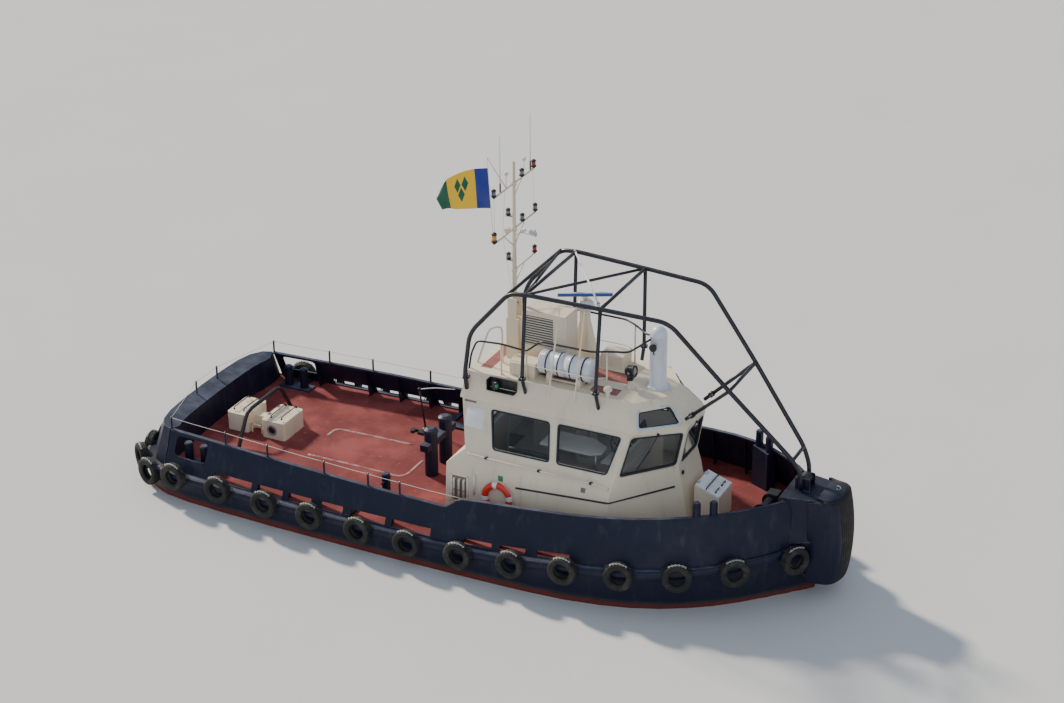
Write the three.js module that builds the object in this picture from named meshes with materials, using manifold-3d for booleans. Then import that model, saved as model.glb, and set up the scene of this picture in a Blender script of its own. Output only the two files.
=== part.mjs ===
// A twin-screw steel harbour tug, about 16.8 m long, built from its separate pieces.
// Millimetres. +X is forward, +Y is port, +Z is up, and the origin lies amidships on the waterline.
import * as THREE from "three";
import { mergeVertices } from "three/addons/utils/BufferGeometryUtils.js";
import Module from "manifold-3d";

const wasm = await Module();
wasm.setup();

// Driving dimensions
const GAP = 0.3; // between two pieces that rest on each other
const PORT = 1;
const STARBOARD = -1;
const DECK_CROWN = 45; // the deck is this much higher on the centreline

// The hull's lines. Half-breadths are measured from the centreline, heights from the waterline.
const LINES = [
  // x, deckHalf, deckZ, chineHalf, chineZ, bilgeHalf, bilgeZ, keelZ
  [-8020, 1850, 720, 1750, -150, 1000, -230, -250],
  [-7850, 2230, 720, 2130, -160, 1250, -250, -280],
  [-7500, 2500, 720, 2400, -180, 1500, -300, -340],
  [-7000, 2680, 720, 2590, -200, 1750, -380, -430],
  [-5500, 2800, 720, 2730, -250, 2100, -700, -820],
  [-3500, 2860, 720, 2800, -320, 2300, -1150, -1450],
  [-1200, 2880, 725, 2840, -360, 2380, -1300, -1750],
  [300, 2880, 735, 2840, -370, 2380, -1320, -1810],
  [1500, 2880, 800, 2830, -360, 2320, -1310, -1810],
  [2800, 2860, 930, 2760, -320, 2150, -1260, -1810],
  [4000, 2750, 1010, 2540, -260, 1850, -1180, -1790],
  [5000, 2500, 1085, 2180, -160, 1480, -1050, -1730],
  [6000, 2050, 1190, 1600, 0, 1000, -820, -1560],
  [6900, 1350, 1290, 900, 250, 500, -450, -1150],
  [7450, 680, 1380, 380, 600, 200, 50, -450],
  [7700, 60, 1430, 50, 1000, 45, 700, 400],
];
const LINE = { deckHalf: 1, deckZ: 2, chineHalf: 3, chineZ: 4, bilgeHalf: 5, bilgeZ: 6, keelZ: 7 };
// Every piece along the deck edge has its sections at these places, so that they all follow it alike.
const STATIONS_X = [
  -8020, -7930, -7850, -7680, -7500, -7300, -7150, -6500, -5500, -4000, -2500, -1200, 0, 900, 1800,
  2800, 3600, 4300, 4900, 5450, 5950, 6400, 6800, 7150, 7450, 7600, 7700,
];

// The outer top edge of the side bulwarks
const RAIL_LINE = [
  // x, half, z
  [-7200, 2250, 1520],
  [-5500, 2360, 1510],
  [-3500, 2490, 1490],
  [-1200, 2570, 1455],
  [0, 2590, 1440],
  [100, 2590, 1445],
  [200, 2570, 1510],
  [320, 2520, 1610],
  [440, 2485, 1655],
  [1200, 2470, 1715],
  [2800, 2460, 1860],
  [4000, 2320, 1970],
  [5000, 2080, 2090],
  [6000, 1620, 2200],
  [6900, 890, 2290],
  [7350, 360, 2335],
  [7600, 40, 2360],
];
const RAIL = { half: 1, z: 2 };
const BULWARK = {
  plate: 40,
  capWidth: 90,
  capHeight: 40,
  capOverhang: 12,
  footInset: 30,
  footDrop: 60,
  leastHalf: 45,
  aftStart: -7150,
  split: 0,
  sheerStep: [110, 220, 330, 450], // where the rail climbs to the fore bulwark
  foreEnd: 7600,
};
const STAY = {
  depth: 260,
  head: 60,
  footInset: 60,
  headInset: 40,
  thick: 24,
  aft: [-6020, -4675, -3855, -3055, -2265, -1220, -90],
  fore: [550, 1400, 2230, 3260, 4300, 5150, 5950, 6650],
};

// Each slot along the foot of a side bulwark lets water off the deck
const FREEING_PORTS = {
  bottom: 30,
  inward: 420,
  outward: 200,
  aftTop: 200,
  foreTop: 150,
  aft: [
    // from x, to x
    [-5750, -4750],
    [-4600, -3930],
    [-3780, -3180],
    [-2930, -2370],
    [-2160, -1300],
    [-1140, -180],
  ],
  fore: [
    [640, 1300],
    [1500, 2100],
    [2360, 3110],
  ],
};
const QUARTER_OPENING = { from: -6950, to: -6080, bottom: 1010, top: 1425, corner: 110 };

// Deck gear starts below the deck's top, and is cut to it
const DECK_FOOT = 640;
const BOLLARD_EDGE = 25;
const QUARTER_BOLLARDS = {
  x: -6520,
  y: 2180,
  spacing: 420,
  radius: 105,
  height: 620,
  plate: 120,
  plateLap: 60,
  linkHalf: 180,
  linkY: 2650,
};
const SIDE_BOLLARD = {
  x: -1690,
  y: 2000,
  radius: 95,
  height: 920,
  pinShare: 0.8,
  pinHalf: 190,
  pin: 26,
  plateTop: 790,
  plateHalf: 130,
  plateLap: 150,
  linkX: -2240,
  linkHalf: 60,
  linkY: 2820,
};

// The boxed bulwark across the stern, from the centreline out to port
const STERN_LINE = [
  // foot x, foot y, top x, top y, fold x, fold y
  [-7960, 0, -7760, 0, -7300, 0],
  [-7950, 900, -7745, 800, -7290, 760],
  [-7900, 1750, -7700, 1450, -7265, 1330],
  [-7760, 2150, -7600, 1850, -7225, 1640],
  [-7560, 2380, -7420, 2120, -7170, 1880],
  [-7200, 2560, -7190, 2215, -7155, 2040],
];
const STERN = { footZ: 660, topZ: 1520, foldZ: 1440, foldLap: 60, postX: -7630, postY: 440 };

const BELTING = { depth: 95, height: 210, bevel: 30, inset: 60, drop: 2, aftX: -7300, foreX: 7320 };
const STERN_CORNERS = [
  // x, y, outward x, outward y
  [-8020, 0, -1, 0],
  [-8020, 1500, -1, 0],
  [-8020, 1850, -0.85, 0.5],
  [-7850, 2230, -0.7, 0.7],
  [-7500, 2500, -0.4, 0.9],
  [-7305, 2585, -0.3, 0.95],
];
const STERN_DECK_Z = 720;
const TYRE = { outer: 318, tube: 110, sides: 8, rings: 5, bite: 55 };
const SIDE_TYRES = [
  // x, how far its centre hangs below the deck edge
  [-6720, 20],
  [-5500, 20],
  [-4260, 60],
  [-3080, 60],
  [-1860, 120],
  [-640, 140],
  [600, 140],
  [1860, 120],
  [3060, 100],
  [4260, 80],
  [5400, 100],
  [6400, 140],
  [7340, 240],
];
const STERN_TYRES = [
  // x, y, z, angle of its axle from aft towards its own side, in degrees
  [-7600, 2580, 500, 70],
  [-8050, 2180, 600, 50],
  [-8160, 1580, 580, 8],
  [-8170, 950, 560, 0],
  [-8170, 320, 560, 0],
];

const BOW_FENDER = {
  front: 8380,
  back: 7500,
  half: 560,
  top: 2380,
  bottom: 450,
  nose: 330,
  bulge: 110,
  rake: 40,
  bulgeLevel: 0.52,
  backLap: 120,
  backDepth: 260,
  flare: 60,
};

// Screws, nozzles and rudders, one set on each side
const SCREW = {
  x: -6560,
  y: 1250,
  z: -1290,
  radius: 610,
  hub: 125,
  hubLength: 340,
  blades: 4,
  clearance: 32,
};
const NOZZLE = { length: 640, wall: 75, foreX: -6240 };
const STERN_TUBE = {
  radius: 95,
  foreX: -3100,
  foreZ: -1060,
  level: 60,
  aftX: SCREW.x + SCREW.hubLength * 0.35 + GAP,
  strut: [[-5950, -1250], [-5550, -1250], [-5450, -600], [-5950, -500]], // x, z
  strutHalf: 30,
};
const RUDDER = {
  x: -7260,
  chord: 720,
  balance: 0.3,
  thick: 120,
  shoulder: 70,
  tailHalf: 12,
  top: -640,
  bottom: -1930,
  stock: 60,
  stockLap: 40,
  stockRise: 120,
  trunk: 110,
  trunkTop: -200,
};
const SKEG = {
  half: 70,
  side: [[-6100, -600], [-5600, -2150], [-2000, -2150], [-500, -1790]], // x, z
};

// The deckhouse outline in plan at each level
const HOUSE_LEVELS = [
  // z, aftX, aftHalf, cornerX, cornerHalf, frontX, frontHalf
  [600, -270, 1950, 3560, 1950, 4980, 590],
  [2120, -240, 1880, 3600, 1865, 4710, 545],
  [2470, 150, 1735, 3653, 1700, 4625, 516],
  [3380, -130, 1275, 3790, 1260, 4790, 490],
  [3430, -145, 1250, 3797, 1236, 4799, 488],
];
const HOUSE = { aftX: 1, aftHalf: 2, cornerX: 3, cornerHalf: 4 };
const HOUSE_WALL = 50;
const HOUSE_SPLIT = { aftX: 300, foreX: 3560, frontY: 620 };
const SIDE_WINDOWS = [
  // bottom aft x, bottom fore x, top fore x, top aft x
  [800, 2110, 1960, 600],
  [2310, 3450, 3620, 2180],
];
const SIDE_WINDOW_Z = { bottom: 2570, top: 3300 };
const WINDOW_CORNER = 70;
// Shares of a wall between the second and third sill levels: from, to, low, high
const QUARTER_WINDOW = [0.07, 0.93, 0.1, 0.92];
const FRONT_WINDOW = [0.09, 0.91, 0.1, 0.92];
const GLASS = {
  thick: 8,
  lap: 25,
  gap: 0.4,
  top: 3400,
  sideX: [540, 3540],
  screenX: 3600,
  aftX: [-900, 280],
};
const AFT_WINDOW = { yFrom: -1020, yTo: 230, bottom: 2600, top: 3270 };
const DOOR = { y: 720, width: 660, bottom: 960, top: 2790, thick: 45, face: -300 };
const DOOR_TRUNK = {
  top: 2920,
  jamb: 70,
  foot: 600,
  depth: 560,
  play: 6,
  stop: 30,
  stopLow: 20,
  stopHigh: 25,
};
const DOOR_HANDLE = { fromMiddle: 250, low: 1750, high: 1950, stand: 60, lap: 10, radius: 12, bend: 30 };
const FLOOR = { top: 1430, thick: 40, trunkX: 180, trunkHalf: 420 };
const CONSOLE = { x: 3180, depth: 420, half: 1050, top: 2380, ledge: 120, slope: 180 };
const SEAT = {
  x: 2350,
  post: 60,
  half: 240,
  cushion: [2100, 2580, 1890, 1990], // x from, x to, z from, z to
  backHalf: 230,
  back: [[2080, 1980], [2170, 1980], [2110, 2560], [2030, 2560]], // x, z
};

const ROOF = {
  foot: 3430 + GAP,
  brow: 3480,
  top: 4000,
  wall: 50,
  lip: 40,
  browOutline: [-190, 1275, 3870, 1275, 4815, 488],
  topOutline: [-110, 1060, 3790, 960, 4260, 350],
};
const SKYLIGHT = { from: 0.12, to: 0.88, low: 0.12, high: 0.66, corner: 50, depth: 160, glassX: 3650 };

// The tube cage that keeps a tow rope off the roof gear, as its port line
const CAGE = {
  rail: 48,
  brace: 40,
  bend: 260,
  line: [
    // x, y, z
    [-60, 1205, 3640],
    [-60, 1290, 4020],
    [120, 1370, 5070],
    [1000, 1270, 6100],
    [1380, 1250, 6150],
    [3060, 1150, 6110],
    [4560, 1060, 6060],
    [5800, 750, 4630],
    [7100, 340, 3120],
    [7270, 250, 2760],
    [7270, 230, 2420],
  ],
  posts: [
    // top x, top y, top z, flange x, flange y, flange z, foot x, foot y, foot z
    [1380, 1250, 6150, 1310, 1290, 4200, 1310, 1090, 3700],
    [3060, 1150, 6110, 3010, 1260, 4210, 3010, 1080, 3720],
  ],
  brow: [5800, 750, 4630, 4760, 500, 3640],
  crosses: [3, 4, 5, 7, 8], // rows of the line above
  diagonals: [
    // starboard row, port row
    [4, 5],
    [4, 3],
  ],
};

const CASING = {
  x0: 800,
  x1: 1870,
  half: 285,
  top: 5300,
  louvreX: [870, 1560],
  louvreZ: [4500, 5190],
  slats: 12,
};
const MAST = { x: 510, heel: 4970, pivot: 5230, pin: 28, top: 8500, radius: 52, tipRadius: 34 };
const TABERNACLE = { x0: 365, x1: 655, half: 150, top: 4950, cheekTop: 5430, cheek: 22 };
const YARDS = [
  // z, starboard end, port end, radius
  [8050, -930, 950, 26],
  [7020, -950, 1010, 26],
  [6060, 30, 980, 20],
];
const LAMPS = [
  // x off the mast, y, z, radius, height
  [0, -930, 8065, 60, 190],
  [0, 950, 8065, 60, 190],
  [0, 380, 8065, 60, 190],
  [0, -930, 7035, 66, 250],
  [0, 1010, 7035, 60, 190],
  [0, 390, 7035, 60, 190],
  [-140, 0, 7290, 60, 170],
  [-140, 0, 6270, 60, 170],
  [0, 970, 6075, 60, 190],
];
const MAST_STRUTS = [
  // y and z at the mast, y and z at the yard
  [60, 7780, 400, 8050],
  [-60, 6650, -500, 7020],
  [60, 6650, 500, 7020],
  [0, 5720, 480, 6060],
];
const WHIPS = [
  // y, z of the tip
  [-630, 9330],
  [790, 9340],
];
// The thin spar that holds the flag's line out over the upper yard
const GAFF = { footY: -340, tipY: -1200, tipZ: 9040, radius: 12 };
const HALYARD = { footY: -950, radius: 8 };
const RADAR = {
  x: 1890,
  y: 620,
  foot: 230,
  neck: 90,
  neckRise: 900,
  head: 5185,
  gearbox: [[0, 0], [190, 0], [190, 110], [120, 190], [0, 190]], // radius, height
  scanner: 1200,
  scannerHalf: 45,
  scannerZ: 5445,
  turn: 0.46,
};
const VENT = { x: 3890, y: 0, radius: 185, top: 5400, flange: 270 };
const RAFT = { x: 2050, y: -590, z: 4350, length: 1250, radius: 262 };
const SEARCHLIGHT = { x: 3410, y: -330, post: 300, radius: 120, z: 4400 };
const MUSHROOM = { x: 3140, y: -920 };
const SIDELIGHT = { x0: 470, x1: 1120, y: 1150, z0: 3760, z1: 4010, bracket: 60 };
const ROOF_RAIL = {
  post: 20,
  tube: 23,
  middleTube: 12,
  middle: 330,
  bend: 110,
  line: [
    // x, y, height over the roof
    [-150, 935, -100],
    [-80, 935, 350],
    [60, 935, 680],
    [640, 930, 720],
    [1230, 905, 660],
    [1560, 900, 950],
    [2750, 885, 950],
    [3030, 730, 950],
    [3420, 480, 900],
    [3890, 0, 1220],
  ],
  posts: [3, 4, 7], // rows of the line above
  middleRows: [3, 4, 6, 7],
};
// The hand rail beside the place where the crew climb up to the roof from aft
const CLIMB_RAIL = [
  // x, y, height over the roof
  [410, -410, -20],
  [400, -410, 870],
  [120, -450, 780],
  [50, -550, 500],
  [-130, -660, -160],
];
const ROOF_LOCKERS = [
  // x from, x to, y from, y to, height, corner
  [800, 1390, -860, -450, 350, 90],
  [2380, 2900, 370, 850, 300, 40],
];
const ROOF_WHIPS = [
  // foot x, tip x, tip z
  [1832, 2110, 5940],
  [2440, 2680, 5950],
];
const ROOF_WHIP = { y: -1100, footZ: 3730, radius: 20, tipRadius: 14 };

const AFT_BOXES = [
  // x from, x to
  [-6830, -6260],
  [-5890, -5260],
];
const AFT_BOX = { half: 440, top: 1205, lid: 45, bridge: 120, bridgeDrop: 60, corner: 90 };
const LID_HANDLE = { y: 150, half: 90, rise: 45, lap: 10, radius: 9, bend: 25 };
const TOW_ARCH = { x: -6070, foot: 1230, shoulder: 720, top: 1530, crown: 30, bend: 180, radius: 48 };
const TOW_BITT = {
  x: -1460,
  y: 340,
  radius: 150,
  top: 1950,
  beamZ: 1560,
  beam: 200,
  beamReach: 330,
  beamHalf: 80,
  lug: 150,
  lugHalf: 110,
  lugThick: 50,
  lugGap: 40,
  pin: 30,
};
const TOW_HOOK = { reach: 500, half: 62, heel: 45, flare: 30, throat: 150, mouth: 55, thick: 68 };
const FORE_BOLLARDS = {
  x: 5720,
  y: 1685,
  turn: 0.56,
  spacing: 355,
  radius: 85,
  foot: 1000,
  top: 2480,
  plinthTop: 2100,
};
const WINDLASS = { x: 6430, z: 1680, radius: 190, length: 560, cheek: 50, cheekGap: 8, foot: 1000 };
const FORE_HATCH = { x0: 4930, x1: 5500, half: 370, aftTop: 2050, foreTop: 1860, lid: 45 };
const BOW_HOUSING = {
  top: 2370,
  sections: [
    // z, aft x, aft half, fore x, fore half
    [430, 6900, 300, 7640, 430],
    [1440, 6800, 1080, 7800, 560],
    [2370, 6950, 640, 7830, 470],
  ],
};
const BOW_ROLLER = { x: 7280, z: 2545, radius: 135, half: 138, sideGap: 7, plate: 24, reach: 165, rise: 110 };
const LIFEBUOY = { x: 1020, z: 1570, ring: 290, tube: 75, flat: 0.8 };
const STANCHIONS_X = [-7140, -5640, -4490, -2980, -1850, -1050];
const STANCHION = { radius: 24, height: 300 };
const FLAG = { top: 8810, foot: 7870, flyX: -800, flyY: -1010, flyTop: 8130, flyFoot: 7620, thick: 12 };

// Beyond every piece, for the boxes that cut or keep a whole side
const FAR = 9500;

// Paint and rubber
const PAINT = {
  navy: new THREE.MeshStandardMaterial({ color: 0x20243a, roughness: 0.5, metalness: 0.1 }),
  cream: new THREE.MeshStandardMaterial({ color: 0xe2d3b4, roughness: 0.5, metalness: 0.05 }),
  white: new THREE.MeshStandardMaterial({ color: 0xdde2ea, roughness: 0.4, metalness: 0.0 }),
  black: new THREE.MeshStandardMaterial({ color: 0x16171c, roughness: 0.5, metalness: 0.2 }),
  rubber: new THREE.MeshStandardMaterial({ color: 0x17181a, roughness: 0.85, metalness: 0.0 }),
  bronze: new THREE.MeshStandardMaterial({ color: 0xa8793f, roughness: 0.35, metalness: 0.9 }),
  glass: new THREE.MeshStandardMaterial({ color: 0x5b6e72, roughness: 0.1, metalness: 0.0 }),
  orange: new THREE.MeshStandardMaterial({ color: 0xe04a2a, roughness: 0.5, metalness: 0.0 }),
  cloth: new THREE.MeshStandardMaterial({ color: 0xe8c02c, roughness: 0.8, metalness: 0.0 }),
};

// Solids: every shape becomes a closed solid with its faces outward, so that it can be joined or cut.
function signedVolume(position, index) {
  const a = new THREE.Vector3();
  const b = new THREE.Vector3();
  const c = new THREE.Vector3();
  let volume = 0;
  for (let i = 0; i < index.length; i += 3) {
    a.fromBufferAttribute(position, index[i]);
    b.fromBufferAttribute(position, index[i + 1]);
    c.fromBufferAttribute(position, index[i + 2]);
    volume += a.dot(b.cross(c)) / 6;
  }
  return volume;
}

function toSolid(geometry) {
  const bare = geometry.clone();
  bare.deleteAttribute("normal");
  bare.deleteAttribute("uv");
  const merged = mergeVertices(bare, 1e-3);
  const triangles = [];
  const index = merged.index.array;
  const outward = signedVolume(merged.attributes.position, index) > 0;
  for (let i = 0; i < index.length; i += 3) {
    const [a, b, c] = [index[i], index[i + 1], index[i + 2]];
    if (a === b || b === c || c === a) continue;
    triangles.push(...(outward ? [a, b, c] : [a, c, b]));
  }
  const vertProperties = new Float32Array(merged.attributes.position.array);
  const triVerts = new Uint32Array(triangles);
  return new wasm.Manifold(new wasm.Mesh({ numProp: 3, vertProperties, triVerts }));
}

function toGeometry(solid) {
  const mesh = solid.getMesh();
  const geometry = new THREE.BufferGeometry();
  geometry.setAttribute("position", new THREE.BufferAttribute(new Float32Array(mesh.vertProperties), 3));
  geometry.setIndex(new THREE.BufferAttribute(new Uint32Array(mesh.triVerts), 1));
  return geometry;
}

function join(...solids) {
  return solids.flat().reduce((whole, solid) => whole.add(solid));
}

function cut(base, ...tools) {
  return tools.flat().reduce((whole, tool) => whole.subtract(tool), base);
}

function moved(solid, matrix) {
  return toSolid(toGeometry(solid).applyMatrix4(matrix));
}

function mirrored(solid) {
  return moved(solid, new THREE.Matrix4().makeScale(1, -1, 1));
}

function box(x0, x1, y0, y1, z0, z1) {
  const geometry = new THREE.BoxGeometry(x1 - x0, y1 - y0, z1 - z0);
  geometry.translate((x0 + x1) / 2, (y0 + y1) / 2, (z0 + z1) / 2);
  return toSolid(geometry);
}

// A flat outline pushed along one axis; its points are (x, y), (x, z) or (y, z) for axis z, y or x.
function prism(points, axis, from, to) {
  const shape = new THREE.Shape(points.map(([u, v]) => new THREE.Vector2(u, v)));
  const geometry = new THREE.ExtrudeGeometry(shape, { depth: to - from, bevelEnabled: false });
  geometry.translate(0, 0, from);
  const basis = new THREE.Matrix4();
  const [ex, ey, ez] = [[1, 0, 0], [0, 1, 0], [0, 0, 1]].map((v) => new THREE.Vector3(...v));
  if (axis === "y") geometry.applyMatrix4(basis.makeBasis(ex, ez, ey));
  if (axis === "x") geometry.applyMatrix4(basis.makeBasis(ey, ez, ex));
  return toSolid(geometry);
}

// A shape turned round an axis: the profile holds (radius, height) pairs from one end to the other.
function turned(profile, at, direction, sides = 16) {
  const points = profile.map(([radius, height]) => new THREE.Vector2(radius, height));
  const geometry = new THREE.LatheGeometry(points, sides);
  const up = new THREE.Vector3(0, 1, 0);
  const turn = new THREE.Quaternion().setFromUnitVectors(up, new THREE.Vector3(...direction).normalize());
  geometry.applyQuaternion(turn);
  geometry.translate(...at);
  return toSolid(geometry);
}

function rod(from, to, radius, sides = 10, endRadius = radius) {
  const a = new THREE.Vector3(...from);
  const along = new THREE.Vector3(...to).sub(a);
  const length = along.length();
  return turned([[0, 0], [radius, 0], [endRadius, length], [0, length]], from, along.toArray(), sides);
}

// A path through corners that are rounded off, sampled at the ends and along each bend.
class BentPath extends THREE.Curve {
  constructor(corners, bend) {
    super();
    const points = corners.map((corner) => new THREE.Vector3(...corner));
    this.samples = [points[0]];
    for (let i = 1; i < points.length - 1; i += 1) {
      const before = points[i - 1].clone().sub(points[i]);
      const after = points[i + 1].clone().sub(points[i]);
      const room = Math.min(bend, before.length() * 0.45, after.length() * 0.45);
      const start = points[i].clone().addScaledVector(before.normalize(), room);
      const end = points[i].clone().addScaledVector(after.normalize(), room);
      this.samples.push(...new THREE.QuadraticBezierCurve3(start, points[i], end).getPoints(BEND_STEPS));
    }
    this.samples.push(points[points.length - 1]);
  }

  getPoint(t, target = new THREE.Vector3()) {
    const place = t * (this.samples.length - 1);
    const i = Math.min(Math.floor(place), this.samples.length - 2);
    return target.lerpVectors(this.samples[i], this.samples[i + 1], place - i);
  }

  getPointAt(u, target) {
    return this.getPoint(u, target);
  }

  getTangentAt(u, target = new THREE.Vector3()) {
    const last = this.samples.length - 1;
    const i = Math.round(u * last);
    const before = this.samples[Math.max(i - 1, 0)];
    const after = this.samples[Math.min(i + 1, last)];
    return target.copy(after).sub(before).normalize();
  }
}
const BEND_STEPS = 2;

function circle(radius, sides) {
  const points = [];
  for (let i = 0; i < sides; i += 1) {
    const angle = (2 * Math.PI * i) / sides;
    points.push(new THREE.Vector2(radius * Math.cos(angle), radius * Math.sin(angle)));
  }
  return new THREE.Shape(points);
}

function pipe(corners, radius, bend = 120, sides = 8) {
  const path = new BentPath(corners, bend);
  const options = { steps: path.samples.length - 1, extrudePath: path, bevelEnabled: false };
  return toSolid(new THREE.ExtrudeGeometry(circle(radius, sides), options));
}

// A solid through rings of equally many points; a closed loft joins its last ring to its first.
function loft(rings, closed = false) {
  const count = rings[0].length;
  const positions = rings.flat(2);
  const index = [];
  const spans = closed ? rings.length : rings.length - 1;
  for (let r = 0; r < spans; r += 1) {
    const next = (r + 1) % rings.length;
    for (let i = 0; i < count; i += 1) {
      const j = (i + 1) % count;
      const [a, b, c, d] = [r * count + i, r * count + j, next * count + j, next * count + i];
      index.push(a, b, c, a, c, d);
    }
  }
  if (!closed) {
    for (const [ring, flip] of [[0, true], [rings.length - 1, false]]) {
      const flat = flattened(rings[ring]);
      for (const face of THREE.ShapeUtils.triangulateShape(flat, [])) {
        const [a, b, c] = face.map((i) => ring * count + i);
        const clockwise = THREE.ShapeUtils.area(flat) < 0;
        index.push(...(flip !== clockwise ? [a, c, b] : [a, b, c]));
      }
    }
  }
  const geometry = new THREE.BufferGeometry();
  geometry.setAttribute("position", new THREE.Float32BufferAttribute(positions, 3));
  geometry.setIndex(index);
  return toSolid(geometry);
}

// A ring of points laid flat in its own plane, in the same order
function flattened(ring) {
  const points = ring.map((point) => new THREE.Vector3(...point));
  const normal = new THREE.Vector3();
  points.forEach((point, i) => normal.add(point.clone().cross(points[(i + 1) % points.length])));
  normal.normalize();
  const side = Math.abs(normal.z) < 0.9 ? new THREE.Vector3(0, 0, 1) : new THREE.Vector3(1, 0, 0);
  const u = side.clone().cross(normal).normalize();
  const v = normal.clone().cross(u);
  return points.map((point) => new THREE.Vector2(point.dot(u), point.dot(v)));
}

// The value of one column at a place along a table, on a smooth curve through its rows
function along(table, column, x) {
  let i = 0;
  while (i < table.length - 2 && table[i + 1][0] < x) i += 1;
  const slope = (k) => {
    const low = Math.max(k - 1, 0);
    const high = Math.min(k + 1, table.length - 1);
    return (table[high][column] - table[low][column]) / (table[high][0] - table[low][0]);
  };
  const span = table[i + 1][0] - table[i][0];
  const t = Math.min(Math.max((x - table[i][0]) / span, 0), 1);
  const [t2, t3] = [t * t, t * t * t];
  const ends = (2 * t3 - 3 * t2 + 1) * table[i][column] + (3 * t2 - 2 * t3) * table[i + 1][column];
  return ends + (t3 - 2 * t2 + t) * span * slope(i) + (t3 - t2) * span * slope(i + 1);
}

function deckEdge(x) {
  return { half: along(LINES, LINE.deckHalf, x), z: along(LINES, LINE.deckZ, x) };
}

function railEdge(x) {
  return { half: along(RAIL_LINE, RAIL.half, x), z: along(RAIL_LINE, RAIL.z, x) };
}

function stationsBetween(from, to) {
  return STATIONS_X.filter((x) => x >= from && x <= to);
}

function places(from, to, count) {
  return Array.from({ length: count + 1 }, (_, i) => from + ((to - from) * i) / count);
}

// Hull: one decked steel body with its skegs and stern tubes
function hullRing(x) {
  const at = (column) => along(LINES, column, x);
  const half = [
    [at(LINE.deckHalf), at(LINE.deckZ)],
    [at(LINE.chineHalf), at(LINE.chineZ)],
    [at(LINE.bilgeHalf), at(LINE.bilgeZ)],
  ];
  const port = half.map(([y, z]) => [x, y, z]);
  const starboard = half.map(([y, z]) => [x, -y, z]).reverse();
  const crown = DECK_CROWN * Math.min(1, at(LINE.deckHalf) / 2000);
  return [...port, [x, 0, at(LINE.keelZ)], ...starboard, [x, 0, at(LINE.deckZ) + crown]];
}

function sternTube(side) {
  const y = side * SCREW.y;
  const { radius, level, aftX, foreX, foreZ } = STERN_TUBE;
  const bearing = rod([aftX, y, SCREW.z], [aftX + level, y, SCREW.z], radius + 6, 12);
  const tube = rod([aftX + level / 2, y, SCREW.z], [foreX, y, foreZ], radius, 12);
  const strut = prism(STERN_TUBE.strut, "y", y - STERN_TUBE.strutHalf, y + STERN_TUBE.strutHalf);
  const trunkFoot = RUDDER.top + RUDDER.stockRise;
  const trunk = rod([RUDDER.x, y, trunkFoot], [RUDDER.x, y, RUDDER.trunkTop], RUDDER.trunk, 12);
  return join(bearing, tube, strut, trunk);
}

function makeHull() {
  const body = loft(STATIONS_X.map(hullRing));
  const skeg = prism(SKEG.side, "y", -SKEG.half, SKEG.half);
  return join(body, skeg, sternTube(PORT), sternTube(STARBOARD));
}

const hull = makeHull();
const GROW = new THREE.Vector3(1.00008, 1.0002, 1);
const deckTool = moved(hull, new THREE.Matrix4().makeScale(...GROW).setPosition(0, 0, GAP));
const bottomTool = moved(hull, new THREE.Matrix4().makeScale(...GROW).setPosition(0, 0, -GAP));

// Bulwarks: a leaning plate with a cap, stays inside, bollards and stanchions
function bulwarkRing(x, side) {
  const foot = deckEdge(x);
  const top = railEdge(x);
  const plate = Math.min(BULWARK.plate, top.half * 0.5);
  const cap = Math.min(BULWARK.capWidth, top.half * 0.8);
  const capFoot = top.z - BULWARK.capHeight;
  const footHalf = Math.max(foot.half - BULWARK.footInset, BULWARK.leastHalf);
  const plateHalf = top.half - BULWARK.capOverhang;
  const shape = [
    [footHalf, foot.z - BULWARK.footDrop],
    [plateHalf, capFoot],
    [top.half, capFoot],
    [top.half, top.z],
    [top.half - cap, top.z],
    [top.half - cap, capFoot],
    [plateHalf - plate, capFoot],
    [footHalf - plate, foot.z - BULWARK.footDrop],
  ];
  return shape.map(([y, z]) => [x, side * y, z]);
}

function stay(x, side) {
  const foot = deckEdge(x);
  const top = railEdge(x);
  const [footZ, headZ] = [foot.z - BULWARK.footDrop, top.z - BULWARK.capHeight];
  const outline = [
    [foot.half - STAY.footInset, footZ],
    [top.half - STAY.headInset, headZ],
    [top.half - STAY.headInset - STAY.head, headZ],
    [foot.half - STAY.footInset - STAY.depth, footZ],
  ].map(([y, z]) => [side * y, z]);
  return prism(outline, "x", x - STAY.thick / 2, x + STAY.thick / 2);
}

function freeingPort([from, to], top, side) {
  const foot = deckEdge((from + to) / 2);
  const outline = [
    [from, deckEdge(from).z + FREEING_PORTS.bottom],
    [to, deckEdge(to).z + FREEING_PORTS.bottom],
    [to, deckEdge(to).z + top],
    [from, deckEdge(from).z + top],
  ];
  const { inward, outward } = FREEING_PORTS;
  return prism(outline, "y", ...span(side * (foot.half - inward), side * (foot.half + outward)));
}

function roundedOutline(points, radius, steps = 3) {
  const corners = points.map(([u, v]) => new THREE.Vector2(u, v));
  return corners.flatMap((corner, i) => {
    const before = corners[(i + corners.length - 1) % corners.length].clone().sub(corner);
    const after = corners[(i + 1) % corners.length].clone().sub(corner);
    const start = corner.clone().addScaledVector(before.normalize(), radius);
    const end = corner.clone().addScaledVector(after.normalize(), radius);
    return new THREE.QuadraticBezierCurve(start, corner, end).getPoints(steps).map((p) => [p.x, p.y]);
  });
}

// Two ends in rising order, so that one rule serves both sides
function span(a, b) {
  return a < b ? [a, b] : [b, a];
}

function rectangle(u0, u1, v0, v1) {
  return [[u0, v0], [u1, v0], [u1, v1], [u0, v1]];
}

function quarterOpening(side) {
  const { from, to, bottom, top, corner } = QUARTER_OPENING;
  const outline = roundedOutline(rectangle(from, to, bottom, top), corner);
  return prism(outline, "y", ...span(side * 1900, side * 2900));
}

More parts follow.
